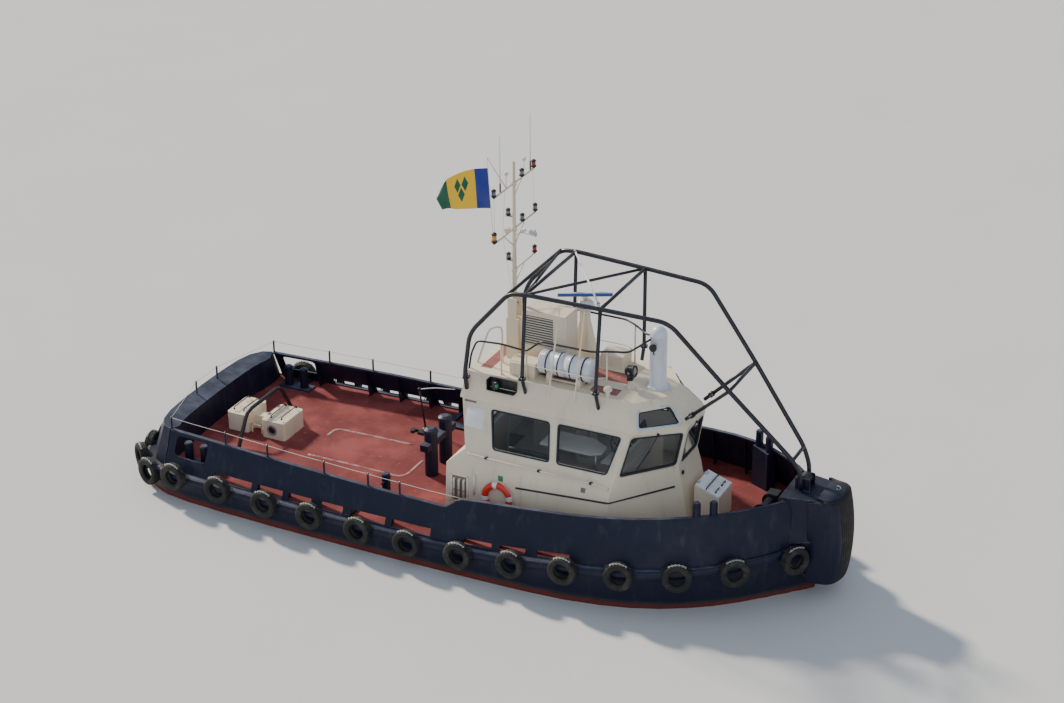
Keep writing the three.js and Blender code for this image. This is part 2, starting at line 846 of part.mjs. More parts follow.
function bollardPost(x, y, height, radius) {
  const [shoulder, crown] = [height - BOLLARD_EDGE, radius - BOLLARD_EDGE];
  const profile = [[0, 0], [radius, 0], [radius, shoulder], [crown, height], [0, height]];
  return turned(profile, [x, y, DECK_FOOT], [0, 0, 1], 12);
}

// A low pair of bollards on a foot plate that reaches out to the bulwark
function quarterBollards(side) {
  const { x, y, spacing, radius, height, plate: plateHeight, plateLap, linkHalf, linkY } = QUARTER_BOLLARDS;
  const posts = [x - spacing / 2, x + spacing / 2].map((at) => bollardPost(at, side * y, height, radius));
  const plateTop = DECK_FOOT + plateHeight;
  const [inner, outer] = [side * (y - radius - plateLap), side * (y + radius + plateLap)];
  const plate = slab(x - spacing, x + spacing, inner, outer, DECK_FOOT, plateTop);
  const link = slab(x - linkHalf, x + linkHalf, side * y, side * linkY, DECK_FOOT + 20, plateTop - 10);
  return join(plate, link, posts);
}

// A bollard with its cross pin, on a plate that runs aft and out to the bulwark between two slots
function sideBollard(side) {
  const { x, y, radius, height, pinShare, pinHalf } = SIDE_BOLLARD;
  const post = bollardPost(x, side * y, height, radius);
  const pinZ = DECK_FOOT + height * pinShare;
  const pin = rod([x, side * y - pinHalf, pinZ], [x, side * y + pinHalf, pinZ], SIDE_BOLLARD.pin, 6);
  const { plateTop, plateHalf, linkX, linkHalf, linkY } = SIDE_BOLLARD;
  const [aft, fore] = [linkX - linkHalf, x + SIDE_BOLLARD.plateLap];
  const plate = slab(aft, fore, side * (y - plateHalf), side * (y + plateHalf), DECK_FOOT, plateTop);
  const link = slab(aft, linkX + linkHalf, side * y, side * linkY, DECK_FOOT, plateTop);
  return join(post, pin, plate, link);
}

// Everything outboard of a side bulwark's plate, to trim what is joined to its inner face
function bulwarkOutside(side) {
  const stations = stationsBetween(0, 7500);
  return loft(stations.map((x) => {
    const [foot, top] = [deckEdge(x), railEdge(x)];
    const low = foot.z - 600;
    const plate = [[foot.half - 50, low], [top.half - 30, top.z]];
    const shape = [...plate, [top.half + 900, top.z], [foot.half + 900, low]];
    return shape.map(([y, z]) => [x, side * y, z]);
  }));
}

function stanchion(x, side) {
  const top = railEdge(x);
  const y = side * (top.half - BULWARK.capWidth / 2);
  return rod([x, y, top.z - 20], [x, y, top.z + STANCHION.height], STANCHION.radius, 5);
}

function makeBulwarkAft(side) {
  const stations = [BULWARK.aftStart, ...stationsBetween(BULWARK.aftStart + 1, -1), BULWARK.split - GAP];
  const plate = loft(stations.map((x) => bulwarkRing(x, side)));
  const slots = FREEING_PORTS.aft.map((slot) => freeingPort(slot, FREEING_PORTS.aftTop, side));
  const stays = STAY.aft.map((x) => stay(x, side));
  const posts = STANCHIONS_X.map((x) => stanchion(x, side));
  const open = cut(plate, quarterOpening(side), slots);
  return cut(join(open, stays, quarterBollards(side), sideBollard(side), posts), deckTool);
}

// The fore bulwark's plate alone, a little thicker, as a tool for what lies against it
function bulwarkBlank(side) {
  const rings = [...stationsBetween(5000, 7500), BULWARK.foreEnd].map((x) => {
    const [foot, top] = [deckEdge(x), railEdge(x)];
    const footHalf = Math.max(foot.half - BULWARK.footInset, BULWARK.leastHalf);
    const footZ = foot.z - BULWARK.footDrop;
    const shape = [[footHalf + 1, footZ], [top.half + 1, top.z + 1], [-1, top.z + 1], [-1, footZ]];
    return shape.map(([y, z]) => [x, side * y, z]);
  });
  return loft(rings);
}

function makeBulwarkFore(side) {
  const { split, sheerStep, foreEnd } = BULWARK;
  const stepEnd = sheerStep[sheerStep.length - 1];
  const stations = [split, ...sheerStep, ...stationsBetween(stepEnd + 1, foreEnd - 1), foreEnd];
  const plate = loft(stations.map((x) => bulwarkRing(x, side)));
  const slots = FREEING_PORTS.fore.map((slot) => freeingPort(slot, FREEING_PORTS.foreTop, side));
  const stays = STAY.fore.map((x) => stay(x, side));
  const half = region(-FAR, FAR, ...span(side * 0.5, side * FAR));
  const outside = bulwarkOutside(side);
  const inner = cut(join(...stays, foreBollards(side)), outside);
  return cut(join(cut(plate, slots), inner), deckTool).intersect(half);
}

function makeBulwarkStern() {
  const port = STERN_LINE.map(([footX, footY, topX, topY, foldX, foldY]) => [
    [footX, footY, STERN.footZ],
    [topX, topY, STERN.topZ],
    [foldX, foldY, STERN.foldZ],
    [foldX + STERN.foldLap, foldY - STERN.foldLap, STERN.footZ],
  ]);
  const starboard = port.slice(1).map((ring) => ring.map(([x, y, z]) => [x, -y, z])).reverse();
  const body = loft([...starboard, ...port]);
  const keepAft = region(-FAR, BULWARK.aftStart - GAP, -FAR, FAR);
  const posts = [PORT, STARBOARD].map((side) => {
    const [x, y] = [STERN.postX, side * STERN.postY];
    return rod([x, y, STERN.foldZ], [x, y, STERN.topZ + STANCHION.height], STANCHION.radius, 6);
  });
  return cut(join(body.intersect(keepAft), posts), deckTool);
}

// Belting: a box rail round the deck edge with the tyres that hang on it
function beltingRing(x, side) {
  const edge = deckEdge(x);
  const outer = edge.half + BELTING.depth;
  const inner = edge.half - BELTING.inset;
  const shape = [
    [inner, edge.z],
    [outer, edge.z - BELTING.bevel],
    [outer, edge.z - BELTING.height + BELTING.bevel],
    [inner, edge.z - BELTING.height],
  ];
  return shape.map(([y, z]) => [x, side * y, z - BELTING.drop]);
}

function tyre(x, y, z, direction) {
  const { outer, tube, rings, sides } = TYRE;
  return turned(ringProfile(outer - tube, tube, tube * 0.95, rings), [x, y, z], direction, sides);
}

function sideTyre(x, drop, side) {
  const edge = deckEdge(x);
  const slope = (deckEdge(x + 100).half - deckEdge(x - 100).half) / 200;
  const direction = new THREE.Vector3(-slope, 1, 0).normalize();
  const reach = BELTING.depth + TYRE.tube - TYRE.bite;
  const y = edge.half + reach * direction.y;
  return tyre(x + reach * direction.x, side * y, edge.z - drop, [direction.x, side * direction.y, 0]);
}

function makeBeltingSide(side) {
  const stations = [...stationsBetween(BELTING.aftX, BELTING.foreX - 1), BELTING.foreX];
  const rail = loft(stations.map((x) => beltingRing(x, side)));
  const tyres = SIDE_TYRES.map(([x, drop]) => sideTyre(x, drop, side));
  return cut(cut(join(rail, tyres), deckTool), bowHousingSolid(GAP));
}

function makeBeltingStern() {
  const { depth, height, bevel, inset, drop } = BELTING;
  const top = STERN_DECK_Z - drop;
  const ring = (x, y, nx, ny) => {
    const out = (d, z) => [x + nx * d, y + ny * d, z];
    const foot = top - height;
    return [out(-inset, top), out(depth, top - bevel), out(depth, foot + bevel), out(-inset, foot)];
  };
  const starboard = STERN_CORNERS.slice(1).map(([x, y, nx, ny]) => ring(x, -y, nx, -ny)).reverse();
  const rail = loft([...starboard, ...STERN_CORNERS.map((row) => ring(...row))]);
  const tyres = STERN_TYRES.flatMap(([x, y, z, degrees]) => {
    const turn = (degrees * Math.PI) / 180;
    return [PORT, STARBOARD].map((side) => tyre(x, side * y, z, [-Math.cos(turn), side * Math.sin(turn), 0]));
  });
  const keepAft = region(-FAR, BELTING.aftX - 1, -FAR, FAR);
  return cut(join(rail.intersect(keepAft), tyres), deckTool);
}

// Bow fender: a deep rubber block wrapped round the stem, ribbed up its face
function bowFenderRing(z) {
  const { front, half, top, bottom, nose, bulge, rake, bulgeLevel } = BOW_FENDER;
  const level = (z - bottom) / (top - bottom);
  const centre = front - nose - bulge * Math.pow(Math.abs(level - bulgeLevel) / 0.5, 2) - rake * level;
  const points = [];
  const steps = 8;
  for (let i = 0; i <= steps; i += 1) {
    const angle = (Math.PI * i) / steps - Math.PI / 2;
    points.push([centre + nose * Math.cos(angle), half * Math.sin(angle), z]);
  }
  const { back, backLap, backDepth, flare } = BOW_FENDER;
  const [lapX, lapHalf] = [back + backLap, half + flare];
  return [...points, [lapX, lapHalf, z], [back + backDepth, 0, z], [lapX, -lapHalf, z]];
}

function makeBowFender() {
  return cut(loft(places(BOW_FENDER.bottom, BOW_FENDER.top, 6).map(bowFenderRing)), bowHousingSolid(GAP));
}

// The plated nose between the bulwarks and the fender, with the roller's cheeks on its top
function bowHousingSolid(grow = 0) {
  return loft(BOW_HOUSING.sections.map(([z, aftX, aftHalf, foreX, foreHalf], i) => {
    const lift = [-grow, 0, grow][i];
    const half = [[aftX, aftHalf + grow], [foreX, foreHalf + grow]];
    const outline = [...half, [foreX + 110 + grow, foreHalf * 0.55]];
    const starboard = outline.map(([x, y]) => [x, -y]).reverse();
    return [...outline, ...starboard].map(([x, y]) => [x, y, z + lift]);
  }));
}

// Two plates of one outline that face each other across the centreline
function pairOfPlates(outline, inner, thick) {
  return [PORT, STARBOARD].map((side) => prism(outline, "y", ...span(side * inner, side * (inner + thick))));
}

function makeBowHousing() {
  const { x, z, half, sideGap, plate, reach, rise } = BOW_ROLLER;
  const foot = BOW_HOUSING.top - 20;
  const outline = roundedOutline(rectangle(x - reach, x + reach, foot, z + rise), 60);
  const inner = half + sideGap;
  const plates = pairOfPlates(outline, inner, plate);
  const bulwarks = [PORT, STARBOARD].map((side) => bulwarkBlank(side));
  return cut(join(bowHousingSolid(), plates), deckTool, bulwarks);
}

function makeBowRoller() {
  const { x, z, radius, half, sideGap } = BOW_ROLLER;
  const profile = [[0, -half], [radius, -half], [radius * 0.8, 0], [radius, half], [0, half]];
  const reach = half + sideGap - GAP;
  return join(turned(profile, [x, 0, z], [0, 1, 0], 14), rod([x, -reach, z], [x, reach, z], 40, 10));
}

// Stern gear
function makeNozzle(side) {
  const y = side * SCREW.y;
  const inner = SCREW.radius + SCREW.clearance;
  const outer = inner + NOZZLE.wall;
  const profile = [
    [inner + 12, 0],
    [inner, NOZZLE.length * 0.35],
    [inner, NOZZLE.length * 0.6],
    [inner + 45, NOZZLE.length],
    [outer + 20, NOZZLE.length - 40],
    [outer + 10, NOZZLE.length * 0.6],
    [outer - 25, 0],
    [inner + 12, 0],
  ];
  const ring = turned(profile, [NOZZLE.foreX - NOZZLE.length, y, SCREW.z], [1, 0, 0], 20);
  const headbox = prism(
    rectangle(NOZZLE.foreX - 560, NOZZLE.foreX - 80, SCREW.z + inner + 30, -250),
    "y",
    y - 70,
    y + 70,
  );
  return cut(join(ring, headbox), bottomTool);
}

function blade(angle, side) {
  const rings = [0, 0.25, 0.5, 0.75, 1].map((part) => {
    const radius = SCREW.hub * 0.7 + part * (SCREW.radius - SCREW.hub * 0.7);
    const chord = 150 + 190 * Math.sin(Math.PI * (0.18 + 0.62 * part));
    const pitch = side * (1.1 - 0.62 * part);
    const thick = 26 - 16 * part;
    const [c, s] = [Math.cos(pitch), Math.sin(pitch)];
    return [[-chord, 0], [0, thick], [chord, 0], [0, -thick]].map(([u, v]) => {
      const p = new THREE.Vector3((u / 2) * s + v * c, (u / 2) * c - v * s, radius);
      return p.applyAxisAngle(new THREE.Vector3(1, 0, 0), angle).toArray();
    });
  });
  return loft(rings);
}

function makePropeller(side) {
  const { hub, hubLength, blades } = SCREW;
  const profile = [
    [0, -hubLength * 0.6],
    [hub * 0.6, -hubLength * 0.5],
    [hub, -60],
    [hub, hubLength * 0.35],
    [0, hubLength * 0.35],
  ];
  const body = turned(profile, [0, 0, 0], [1, 0, 0], 14);
  const all = Array.from({ length: blades }, (_, i) => blade((2 * Math.PI * i) / blades + 0.4, side));
  return moved(join(body, all), new THREE.Matrix4().makeTranslation(SCREW.x, side * SCREW.y, SCREW.z));
}

function makeRudder(side) {
  const y = side * SCREW.y;
  const lead = RUDDER.x + RUDDER.chord * RUDDER.balance;
  const tail = RUDDER.x - RUDDER.chord * (1 - RUDDER.balance);
  const outline = [
    [lead, y],
    [lead - RUDDER.shoulder, y + RUDDER.thick * 0.4],
    [RUDDER.x, y + RUDDER.thick / 2],
    [tail, y + RUDDER.tailHalf],
    [tail, y - RUDDER.tailHalf],
    [RUDDER.x, y - RUDDER.thick / 2],
    [lead - RUDDER.shoulder, y - RUDDER.thick * 0.4],
  ];
  const body = prism(outline, "z", RUDDER.bottom, RUDDER.top);
  const [stockFoot, stockHead] = [RUDDER.top - RUDDER.stockLap, RUDDER.top + RUDDER.stockRise - GAP];
  const stock = rod([RUDDER.x, y, stockFoot], [RUDDER.x, y, stockHead], RUDDER.stock, 12);
  return join(body, stock);
}

// Deckhouse
function outlineRing(level, inset = 0) {
  const [z, aftX, aftHalf, cornerX, cornerHalf, frontX, frontHalf] = level;
  const port = [[aftX, aftHalf], [cornerX, cornerHalf], [frontX, frontHalf]];
  const starboard = port.map(([x, y]) => [x, -y]).reverse();
  return insetOutline([...port, ...starboard], inset).map(([x, y]) => [x, y, z]);
}

function insetOutline(points, distance) {
  const count = points.length;
  const edges = points.map((point, i) => {
    const next = points[(i + 1) % count];
    const along2 = new THREE.Vector2(next[0] - point[0], next[1] - point[1]).normalize();
    const inward = new THREE.Vector2(along2.y, -along2.x);
    return { at: new THREE.Vector2(...point).addScaledVector(inward, distance), along2 };
  });
  return points.map((_, i) => {
    const a = edges[(i + count - 1) % count];
    const b = edges[i];
    const cross = a.along2.x * b.along2.y - a.along2.y * b.along2.x;
    const gap = b.at.clone().sub(a.at);
    const reach = (gap.x * b.along2.y - gap.y * b.along2.x) / cross;
    return [a.at.x + a.along2.x * reach, a.at.y + a.along2.y * reach];
  });
}

function houseLevel(z) {
  const upper = HOUSE_LEVELS.findIndex((level) => level[0] >= z);
  const high = HOUSE_LEVELS[Math.max(upper, 1)];
  const low = HOUSE_LEVELS[Math.max(upper, 1) - 1];
  const t = (z - low[0]) / (high[0] - low[0]);
  return low.map((value, i) => value + (high[i] - value) * t);
}

function facePoint(quad, u, v) {
  const [a, b, c, d] = quad.map((point) => new THREE.Vector3(...point));
  const low = a.lerp(b, u);
  const high = d.lerp(c, u);
  return low.lerp(high, v);
}

// A cutter for an opening in a flat four-cornered face: rounded in the face's own plane, and deep
function openingTool(quad, u0, u1, v0, v1, radius, depth = 200) {
  const corners = [[u0, v0], [u1, v0], [u1, v1], [u0, v1]].map(([u, v]) => facePoint(quad, u, v));
  const e1 = corners[1].clone().sub(corners[0]).normalize();
  const normal = e1.clone().cross(corners[3].clone().sub(corners[0])).normalize();
  const e2 = normal.clone().cross(e1);
  const local = corners.map((corner) => {
    const d = corner.clone().sub(corners[0]);
    return [d.dot(e1), d.dot(e2)];
  });
  const outline = roundedOutline(local, radius);
  const at = (u, v) => corners[0].clone().addScaledVector(e1, u).addScaledVector(e2, v);
  const ring = (offset) => outline.map(([u, v]) => at(u, v).addScaledVector(normal, offset).toArray());
  return loft([ring(-depth), ring(depth)]);
}

function levelQuad(a, b, low, high) {
  const [bottom, top] = [outlineRing(low), outlineRing(high)];
  return [bottom[a], bottom[b], top[b], top[a]];
}

function windowTools() {
  const [low, high] = [HOUSE_LEVELS[2], HOUSE_LEVELS[3]];
  const { bottom, top } = SIDE_WINDOW_Z;
  const sides = SIDE_WINDOWS.flatMap(([a, b, c, d]) =>
    [PORT, STARBOARD].map((side) => {
      const outline = roundedOutline([[a, bottom], [b, bottom], [c, top], [d, top]], WINDOW_CORNER);
      return prism(outline, "y", ...span(side * 900, side * 2200));
    }),
  );
  const quarters = [levelQuad(1, 2, low, high), levelQuad(4, 3, low, high)];
  const front = levelQuad(2, 3, low, high);
  const aftFrame = rectangle(AFT_WINDOW.yFrom, AFT_WINDOW.yTo, AFT_WINDOW.bottom, AFT_WINDOW.top);
  const aft = prism(roundedOutline(aftFrame, WINDOW_CORNER), "x", -600, 290);
  return [
    ...sides,
    ...quarters.map((quad) => openingTool(quad, ...QUARTER_WINDOW, WINDOW_CORNER)),
    openingTool(front, ...FRONT_WINDOW, WINDOW_CORNER),
    aft,
  ];
}

const houseBlank = cut(houseSpace(0), houseSpace(HOUSE_WALL, 5), windowTools(), deckTool);

function region(x0, x1, y0, y1) {
  return box(x0, x1, y0, y1, -FAR, FAR);
}

function makeHouseSide(side) {
  const [y0, y1] = span(side * 0.5, side * FAR);
  return houseBlank.intersect(region(HOUSE_SPLIT.aftX + GAP, HOUSE_SPLIT.foreX, y0, y1));
}

function makeHouseQuarter(side) {
  const [y0, y1] = span(side * HOUSE_SPLIT.frontY, side * FAR);
  return houseBlank.intersect(region(HOUSE_SPLIT.foreX + GAP, FAR, y0, y1));
}

function makeHouseFront() {
  const half = HOUSE_SPLIT.frontY - GAP;
  return houseBlank.intersect(region(HOUSE_SPLIT.foreX + GAP, FAR, -half, half));
}

function makeHouseAft() {
  const { y, width, face, bottom, top, thick } = DOOR;
  const { top: trunkTop, jamb, foot, depth, play, stop, stopLow, stopHigh } = DOOR_TRUNK;
  const [y0, y1] = [y - width / 2, y + width / 2];
  const trunk = box(face, face + depth, y0 - jamb, y1 + jamb, foot, trunkTop);
  const passage = box(face + jamb, 400, y0, y1, foot, top + 20);
  const rebate = box(face - 10, face + thick + GAP, y0 - play, y1 + play, bottom - play, top + play);
  const doorway = box(face - 10, face + 90, y0 + stop, y1 - stop, bottom + stopLow, top - stopHigh);
  const hole = box(-600, 280, y0 - jamb, y1 + jamb, foot, trunkTop);
  const wall = cut(houseBlank.intersect(region(-FAR, HOUSE_SPLIT.aftX, -FAR, FAR)), hole);
  const casing = cut(trunk, passage, rebate, doorway, houseSpace(HOUSE_WALL), deckTool);
  return join(wall, casing);
}

function makeDoor() {
  const { y, width, face, bottom, top, thick } = DOOR;
  const panel = box(face, face + thick, y - width / 2, y + width / 2, bottom, top);
  const { fromMiddle, low, high, stand, lap, radius, bend } = DOOR_HANDLE;
  const bow = [[face + lap, low], [face - stand, low], [face - stand, high], [face + lap, high]];
  const handle = pipe(bow.map(([x, z]) => [x, y - fromMiddle, z]), radius, bend, 6);
  return join(panel, handle);
}

// The space inside the deckhouse walls, drawn in by some distance from their outer faces
function houseSpace(inset, lift = 0) {
  const rings = HOUSE_LEVELS.map((level) => outlineRing(level, inset));
  if (lift === 0) return loft(rings);
  const shifted = (ring, rise) => ring.map(([x, y, z]) => [x, y, z + rise]);
  return loft([shifted(rings[0], -lift), ...rings, shifted(rings[rings.length - 1], lift)]);
}

function slab(x0, x1, y0, y1, z0, z1) {
  return box(x0, x1, Math.min(y0, y1), Math.max(y0, y1), z0, z1);
}

function makeGlass() {
  const { lap, gap, thick, top, sideX, screenX, aftX } = GLASS;
  const low = SIDE_WINDOW_Z.bottom - lap;
  const inset = HOUSE_WALL + gap;
  const shell = cut(houseSpace(inset), houseSpace(inset + thick, 5));
  return {
    side: (side) => shell.intersect(slab(...sideX, side * 700, side * FAR, low, top)),
    screen: shell.intersect(slab(screenX, FAR, -FAR, FAR, low, top)),
    aft: shell.intersect(slab(...aftX, AFT_WINDOW.yFrom - lap, AFT_WINDOW.yTo + lap, low, top)),
  };
}

function makeFloor() {
  const [z0, z1] = [FLOOR.top - FLOOR.thick, FLOOR.top];
  const deck = houseSpace(HOUSE_WALL + GLASS.gap).intersect(slab(-FAR, FAR, -FAR, FAR, z0, z1));
  const { trunkX, trunkHalf } = FLOOR;
  const trunkRoom = region(-FAR, trunkX, DOOR.y - trunkHalf, DOOR.y + trunkHalf);
  return join(cut(deck, trunkRoom), makeDesk(z1 - 5), makeSeat(z1 - 5));
}

function makeDesk(foot) {
  const { x, depth, half, top, ledge, slope } = CONSOLE;
  const side = [[x, foot], [x + depth, foot], [x + depth, top], [x + ledge, top], [x, top - slope]];
  return prism(side, "y", -half, half);
}

function makeSeat(foot) {
  const { x, post, half, backHalf, back } = SEAT;
  const [x0, x1, z0, z1] = SEAT.cushion;
  const stem = rod([x, 0, foot], [x, 0, z0 + 10], post, 8);
  return join(stem, box(x0, x1, -half, half, z0, z1), prism(back, "y", -backHalf, backHalf));
}

// Roof: a chamfered cover with its brow, carrying the raft's cradle and small fittings
function roofRing(outline, z, inset = 0) {
  return outlineRing([z, ...outline], inset);
}

function makeRoof() {
  const { foot, brow, top, browOutline, topOutline } = ROOF;
  const outer = loft([roofRing(browOutline, foot), roofRing(browOutline, brow), roofRing(topOutline, top)]);
  const { from, to, low, high, corner, depth } = SKYLIGHT;
  const quads = [skylightQuad(PORT), skylightQuad(STARBOARD)];
  const skylights = quads.map((quad) => openingTool(quad, from, to, low, high, corner, depth));
  const shell = cut(outer, roofSpace(0, 10), skylights);
  const fittings = [raftCradle(), searchlightPost(), mushroomVent(), climbRail(), roofLockers(), roofWhips()];
  return join(shell, fittings.flat());
}

function climbRail() {
  const corners = CLIMB_RAIL.map(([x, y, height]) => [x, y, ROOF.top + height]);
  return pipe(corners, ROOF_RAIL.tube, ROOF_RAIL.bend, 5);
}

function roofLockers() {
  return ROOF_LOCKERS.map(([x0, x1, y0, y1, height, corner]) => {
    const outline = rectangle(y0, y1, ROOF.top - 150, ROOF.top + height);
    const keep = slab(x0, x1, y0, y1, ROOF.top - 20, ROOF.top + height);
    return prism(roundedOutline(outline, corner), "x", x0, x1).intersect(keep);
  });
}

// Two tall thin whips on the starboard slope of the roof
function roofWhips() {
  const { y, footZ, radius, tipRadius } = ROOF_WHIP;
  return ROOF_WHIPS.map(([x, tipX, tipZ]) => rod([x, y, footZ], [tipX, y, tipZ], radius, 6, tipRadius));
}

// The space under the roof, drawn in from its inner faces; its foot may be carried down
function roofSpace(inset, lower = 0) {
  const { foot, brow, top, wall, lip, browOutline, topOutline } = ROOF;
  return loft([
    roofRing(browOutline, foot - lower, wall + lip + inset),
    roofRing(browOutline, brow, wall + lip + inset),
    roofRing(topOutline, top - wall, wall + inset),
  ]);
}

function skylightQuad(side) {
  const lower = roofRing(ROOF.browOutline, ROOF.brow);
  const upper = roofRing(ROOF.topOutline, ROOF.top);
  const [a, b] = side === PORT ? [1, 2] : [4, 3];
  return [lower[a], lower[b], upper[b], upper[a]];
}

function makeSkylightGlass() {
  const [low, high] = [ROOF.brow + 15, ROOF.top - ROOF.wall - 60];
  const shell = cut(roofSpace(GLASS.gap), roofSpace(GLASS.gap + GLASS.thick, 5));
  return shell.intersect(slab(SKYLIGHT.glassX, FAR, -FAR, FAR, low, high));
}

function raftCradle() {
  const { x, y, z, length, radius } = RAFT;
  return [-0.3, 0.3].map((part) => {
    const outline = [
      [y - 250, ROOF.top - 20],
      [y + 250, ROOF.top - 20],
      [y + 200, z - radius * 0.55],
      [y, z - radius - 2],
      [y - 200, z - radius * 0.55],
    ];
    return cut(prism(outline, "x", x + part * length - 25, x + part * length + 25), raftSolid(0.6));
  });
}

function raftSolid(extra) {
  const { x, y, z, length, radius } = RAFT;
  const r = radius + extra;
  const h = length / 2 + extra;
  const foreHalf = [[r, h - 160], [r * 0.94, h - 60], [r * 0.72, h], [0, h]];
  const aftHalf = foreHalf.map(([across, at]) => [across, -at]).reverse();
  return turned([...aftHalf, ...foreHalf], [x, y, z], [1, 0, 0], 20);
}

function searchlightPost() {
  const { x, y, post } = SEARCHLIGHT;
  const profile = [[0, 0], [110, 0], [110, 40], [60, 70], [60, post - 110], [0, post - 110]];
  return turned(profile, [x, y, ROOF.top - 5], [0, 0, 1], 10);
}

function makeSearchlight() {
  const { x, y, z, radius, post } = SEARCHLIGHT;
  const profile = [[0, -130], [radius * 0.6, -120], [radius, -40], [radius, 110], [0, 110]];
  const lamp = turned(profile, [x, y, z], [1, 0, 0.12], 14);
  const yoke = box(x - 40, x + 40, y - radius - 30, y + radius + 30, z - radius - 60, z - radius - 20);
  const arms = [PORT, STARBOARD].map((side) => {
    const reach = span(side * (radius - 20), side * (radius + 30));
    return box(x - 30, x + 30, y + reach[0], y + reach[1], z - radius - 60, z + 30);
  });
  const stem = rod([x, y, ROOF.top + post - 115 + GAP], [x, y, z - radius - 30], 45, 10);
  return join(lamp, yoke, arms, stem);
}

function mushroomVent() {
  const profile = [[0, 0], [50, 0], [50, 150], [95, 150], [95, 200], [60, 240], [0, 250]];
  return turned(profile, [MUSHROOM.x, MUSHROOM.y, ROOF.top - 5], [0, 0, 1], 10);
}

function makeVentPost() {
  const { x, y, radius, top, flange } = VENT;
  const foot = ROOF.top + GAP;
  const height = top - foot;
  const profile = [[0, 0], [flange, 0], [flange, 30], [radius, 60], [radius, height - radius]];
  for (let i = 1; i <= 4; i += 1) {
    const angle = (Math.PI / 2) * (i / 4);
    profile.push([Math.max(radius * Math.cos(angle), 0), height - radius + radius * Math.sin(angle)]);
  }
  profile[profile.length - 1][0] = 0;
  const post = turned(profile, [x, y, foot], [0, 0, 1], 18);
  const lugs = [PORT, STARBOARD].map((side) =>
    rod([x - 20, y + side * (radius - 40), top - 400], [x - 20, y + side * (radius + 90), top - 400], 85, 10),
  );
  return join(post, lugs);
}

function makeCasing() {
  const { x0, x1, half, top, louvreX, louvreZ, slats } = CASING;
  const foot = ROOF.top + GAP;
  const upper = [[x1, top - 20], [x1 - 30, top], [x0 + 60, top], [x0, top - 120]];
  const outline = [[x0 + 60, foot], [x1, foot], ...upper, [x0, foot + 500]];
  const body = prism(outline, "y", -half, half);
  const recess = [PORT, STARBOARD].map((side) => {
    const reach = span(side * (half - 40), side * (half + 50));
    return box(louvreX[0], louvreX[1], ...reach, louvreZ[0], louvreZ[1]);
  });
  const pitch = (louvreZ[1] - louvreZ[0]) / slats;
  const blades = [];
  for (const side of [PORT, STARBOARD]) {
    for (let i = 0; i < slats; i += 1) {
      const z = louvreZ[0] + pitch * (i + 0.5);
      const section = [[half - 45, z + 22], [half - 45, z + 10], [half - 6, z - 22], [half - 6, z - 10]];
      blades.push(prism(section.map(([y, v]) => [side * y, v]), "x", louvreX[0] - 5, louvreX[1] + 5));
    }
  }
  return join(cut(body, recess), blades);
}

function makeTabernacle() {
  const { x0, x1, half, top, cheekTop, cheek } = TABERNACLE;
  const body = box(x0, x1, -half, half, ROOF.top + GAP, top);
  const cheeks = [PORT, STARBOARD].map((side) => {
    const reach = span(side * half, side * (half - cheek));
    return box(x0 + 40, x1 - 40, ...reach, top - 10, cheekTop);
  });
  return join(body, cheeks);
}

function yard([z, from, to, radius]) {
  return rod([MAST.x, from, z], [MAST.x, to, z], radius, 8);
}

function lamp([dx, y, z, radius, height]) {
  const lens = [[radius * 0.75, height * 0.3], [radius * 0.8, height * 0.9]];
  const body = turned([[0, 0], [radius, 0], ...lens, [0, height]], [MAST.x + dx, y, z - 10], [0, 0, 1], 6);
  const bracket = dx !== 0 ? box(MAST.x + dx, MAST.x, -15, 15, z - 5, z + 20) : [];
  return join(body, bracket);
}

function makeMast() {
  const { x, heel, pivot, pin, top, radius, tipRadius } = MAST;
  const pole = rod([x, 0, heel], [x, 0, top], radius, 10, tipRadius);
  const pinHalf = TABERNACLE.half - TABERNACLE.cheek - GAP;
  const pivotPin = rod([x, -pinHalf, pivot], [x, pinHalf, pivot], pin, 8);
  const struts = MAST_STRUTS.map(([y0, z0, y1, z1]) => rod([x, y0, z0], [x, y1, z1], 14, 5));
  const whips = WHIPS.map(([y, tip]) => rod([x, y, YARDS[0][0]], [x, y, tip], 9, 5));
  const gaff = rod([x, GAFF.footY, YARDS[0][0]], [x, GAFF.tipY, GAFF.tipZ], GAFF.radius, 5);
  const halyard = rod([x, GAFF.tipY, GAFF.tipZ], [x, HALYARD.footY, YARDS[1][0]], HALYARD.radius, 5);
  return join(pole, pivotPin, YARDS.map(yard), LAMPS.map(lamp), struts, whips, gaff, halyard);
}

function makeRadarPedestal() {
  const { x, y, foot, neck, neckRise, head } = RADAR;
  const base = ROOF.top + GAP;
  const rows = [[foot, base], [neck, base + neckRise], [neck, head]];
  const column = loft(rows.map(([half, z]) => (
    rectangle(x - half, x + half, y - half, y + half).map(([u, v]) => [u, v, z])
  )));
  const gearbox = turned(RADAR.gearbox, [x, y, head - 10], [0, 0, 1], 14);
  return join(column, gearbox);
}

function makeRadarScanner() {
  const { x, y, head, scanner, scannerHalf, scannerZ, turn } = RADAR;
  const place = new THREE.Matrix4().makeRotationZ(turn).setPosition(x, y, scannerZ);
  const bar = moved(box(-scanner / 2, scanner / 2, -scannerHalf, scannerHalf, 0, 2 * scannerHalf), place);
  const neck = rod([x, y, head + 180 + GAP], [x, y, scannerZ + 10], 45, 10);
  return join(bar, neck);
}

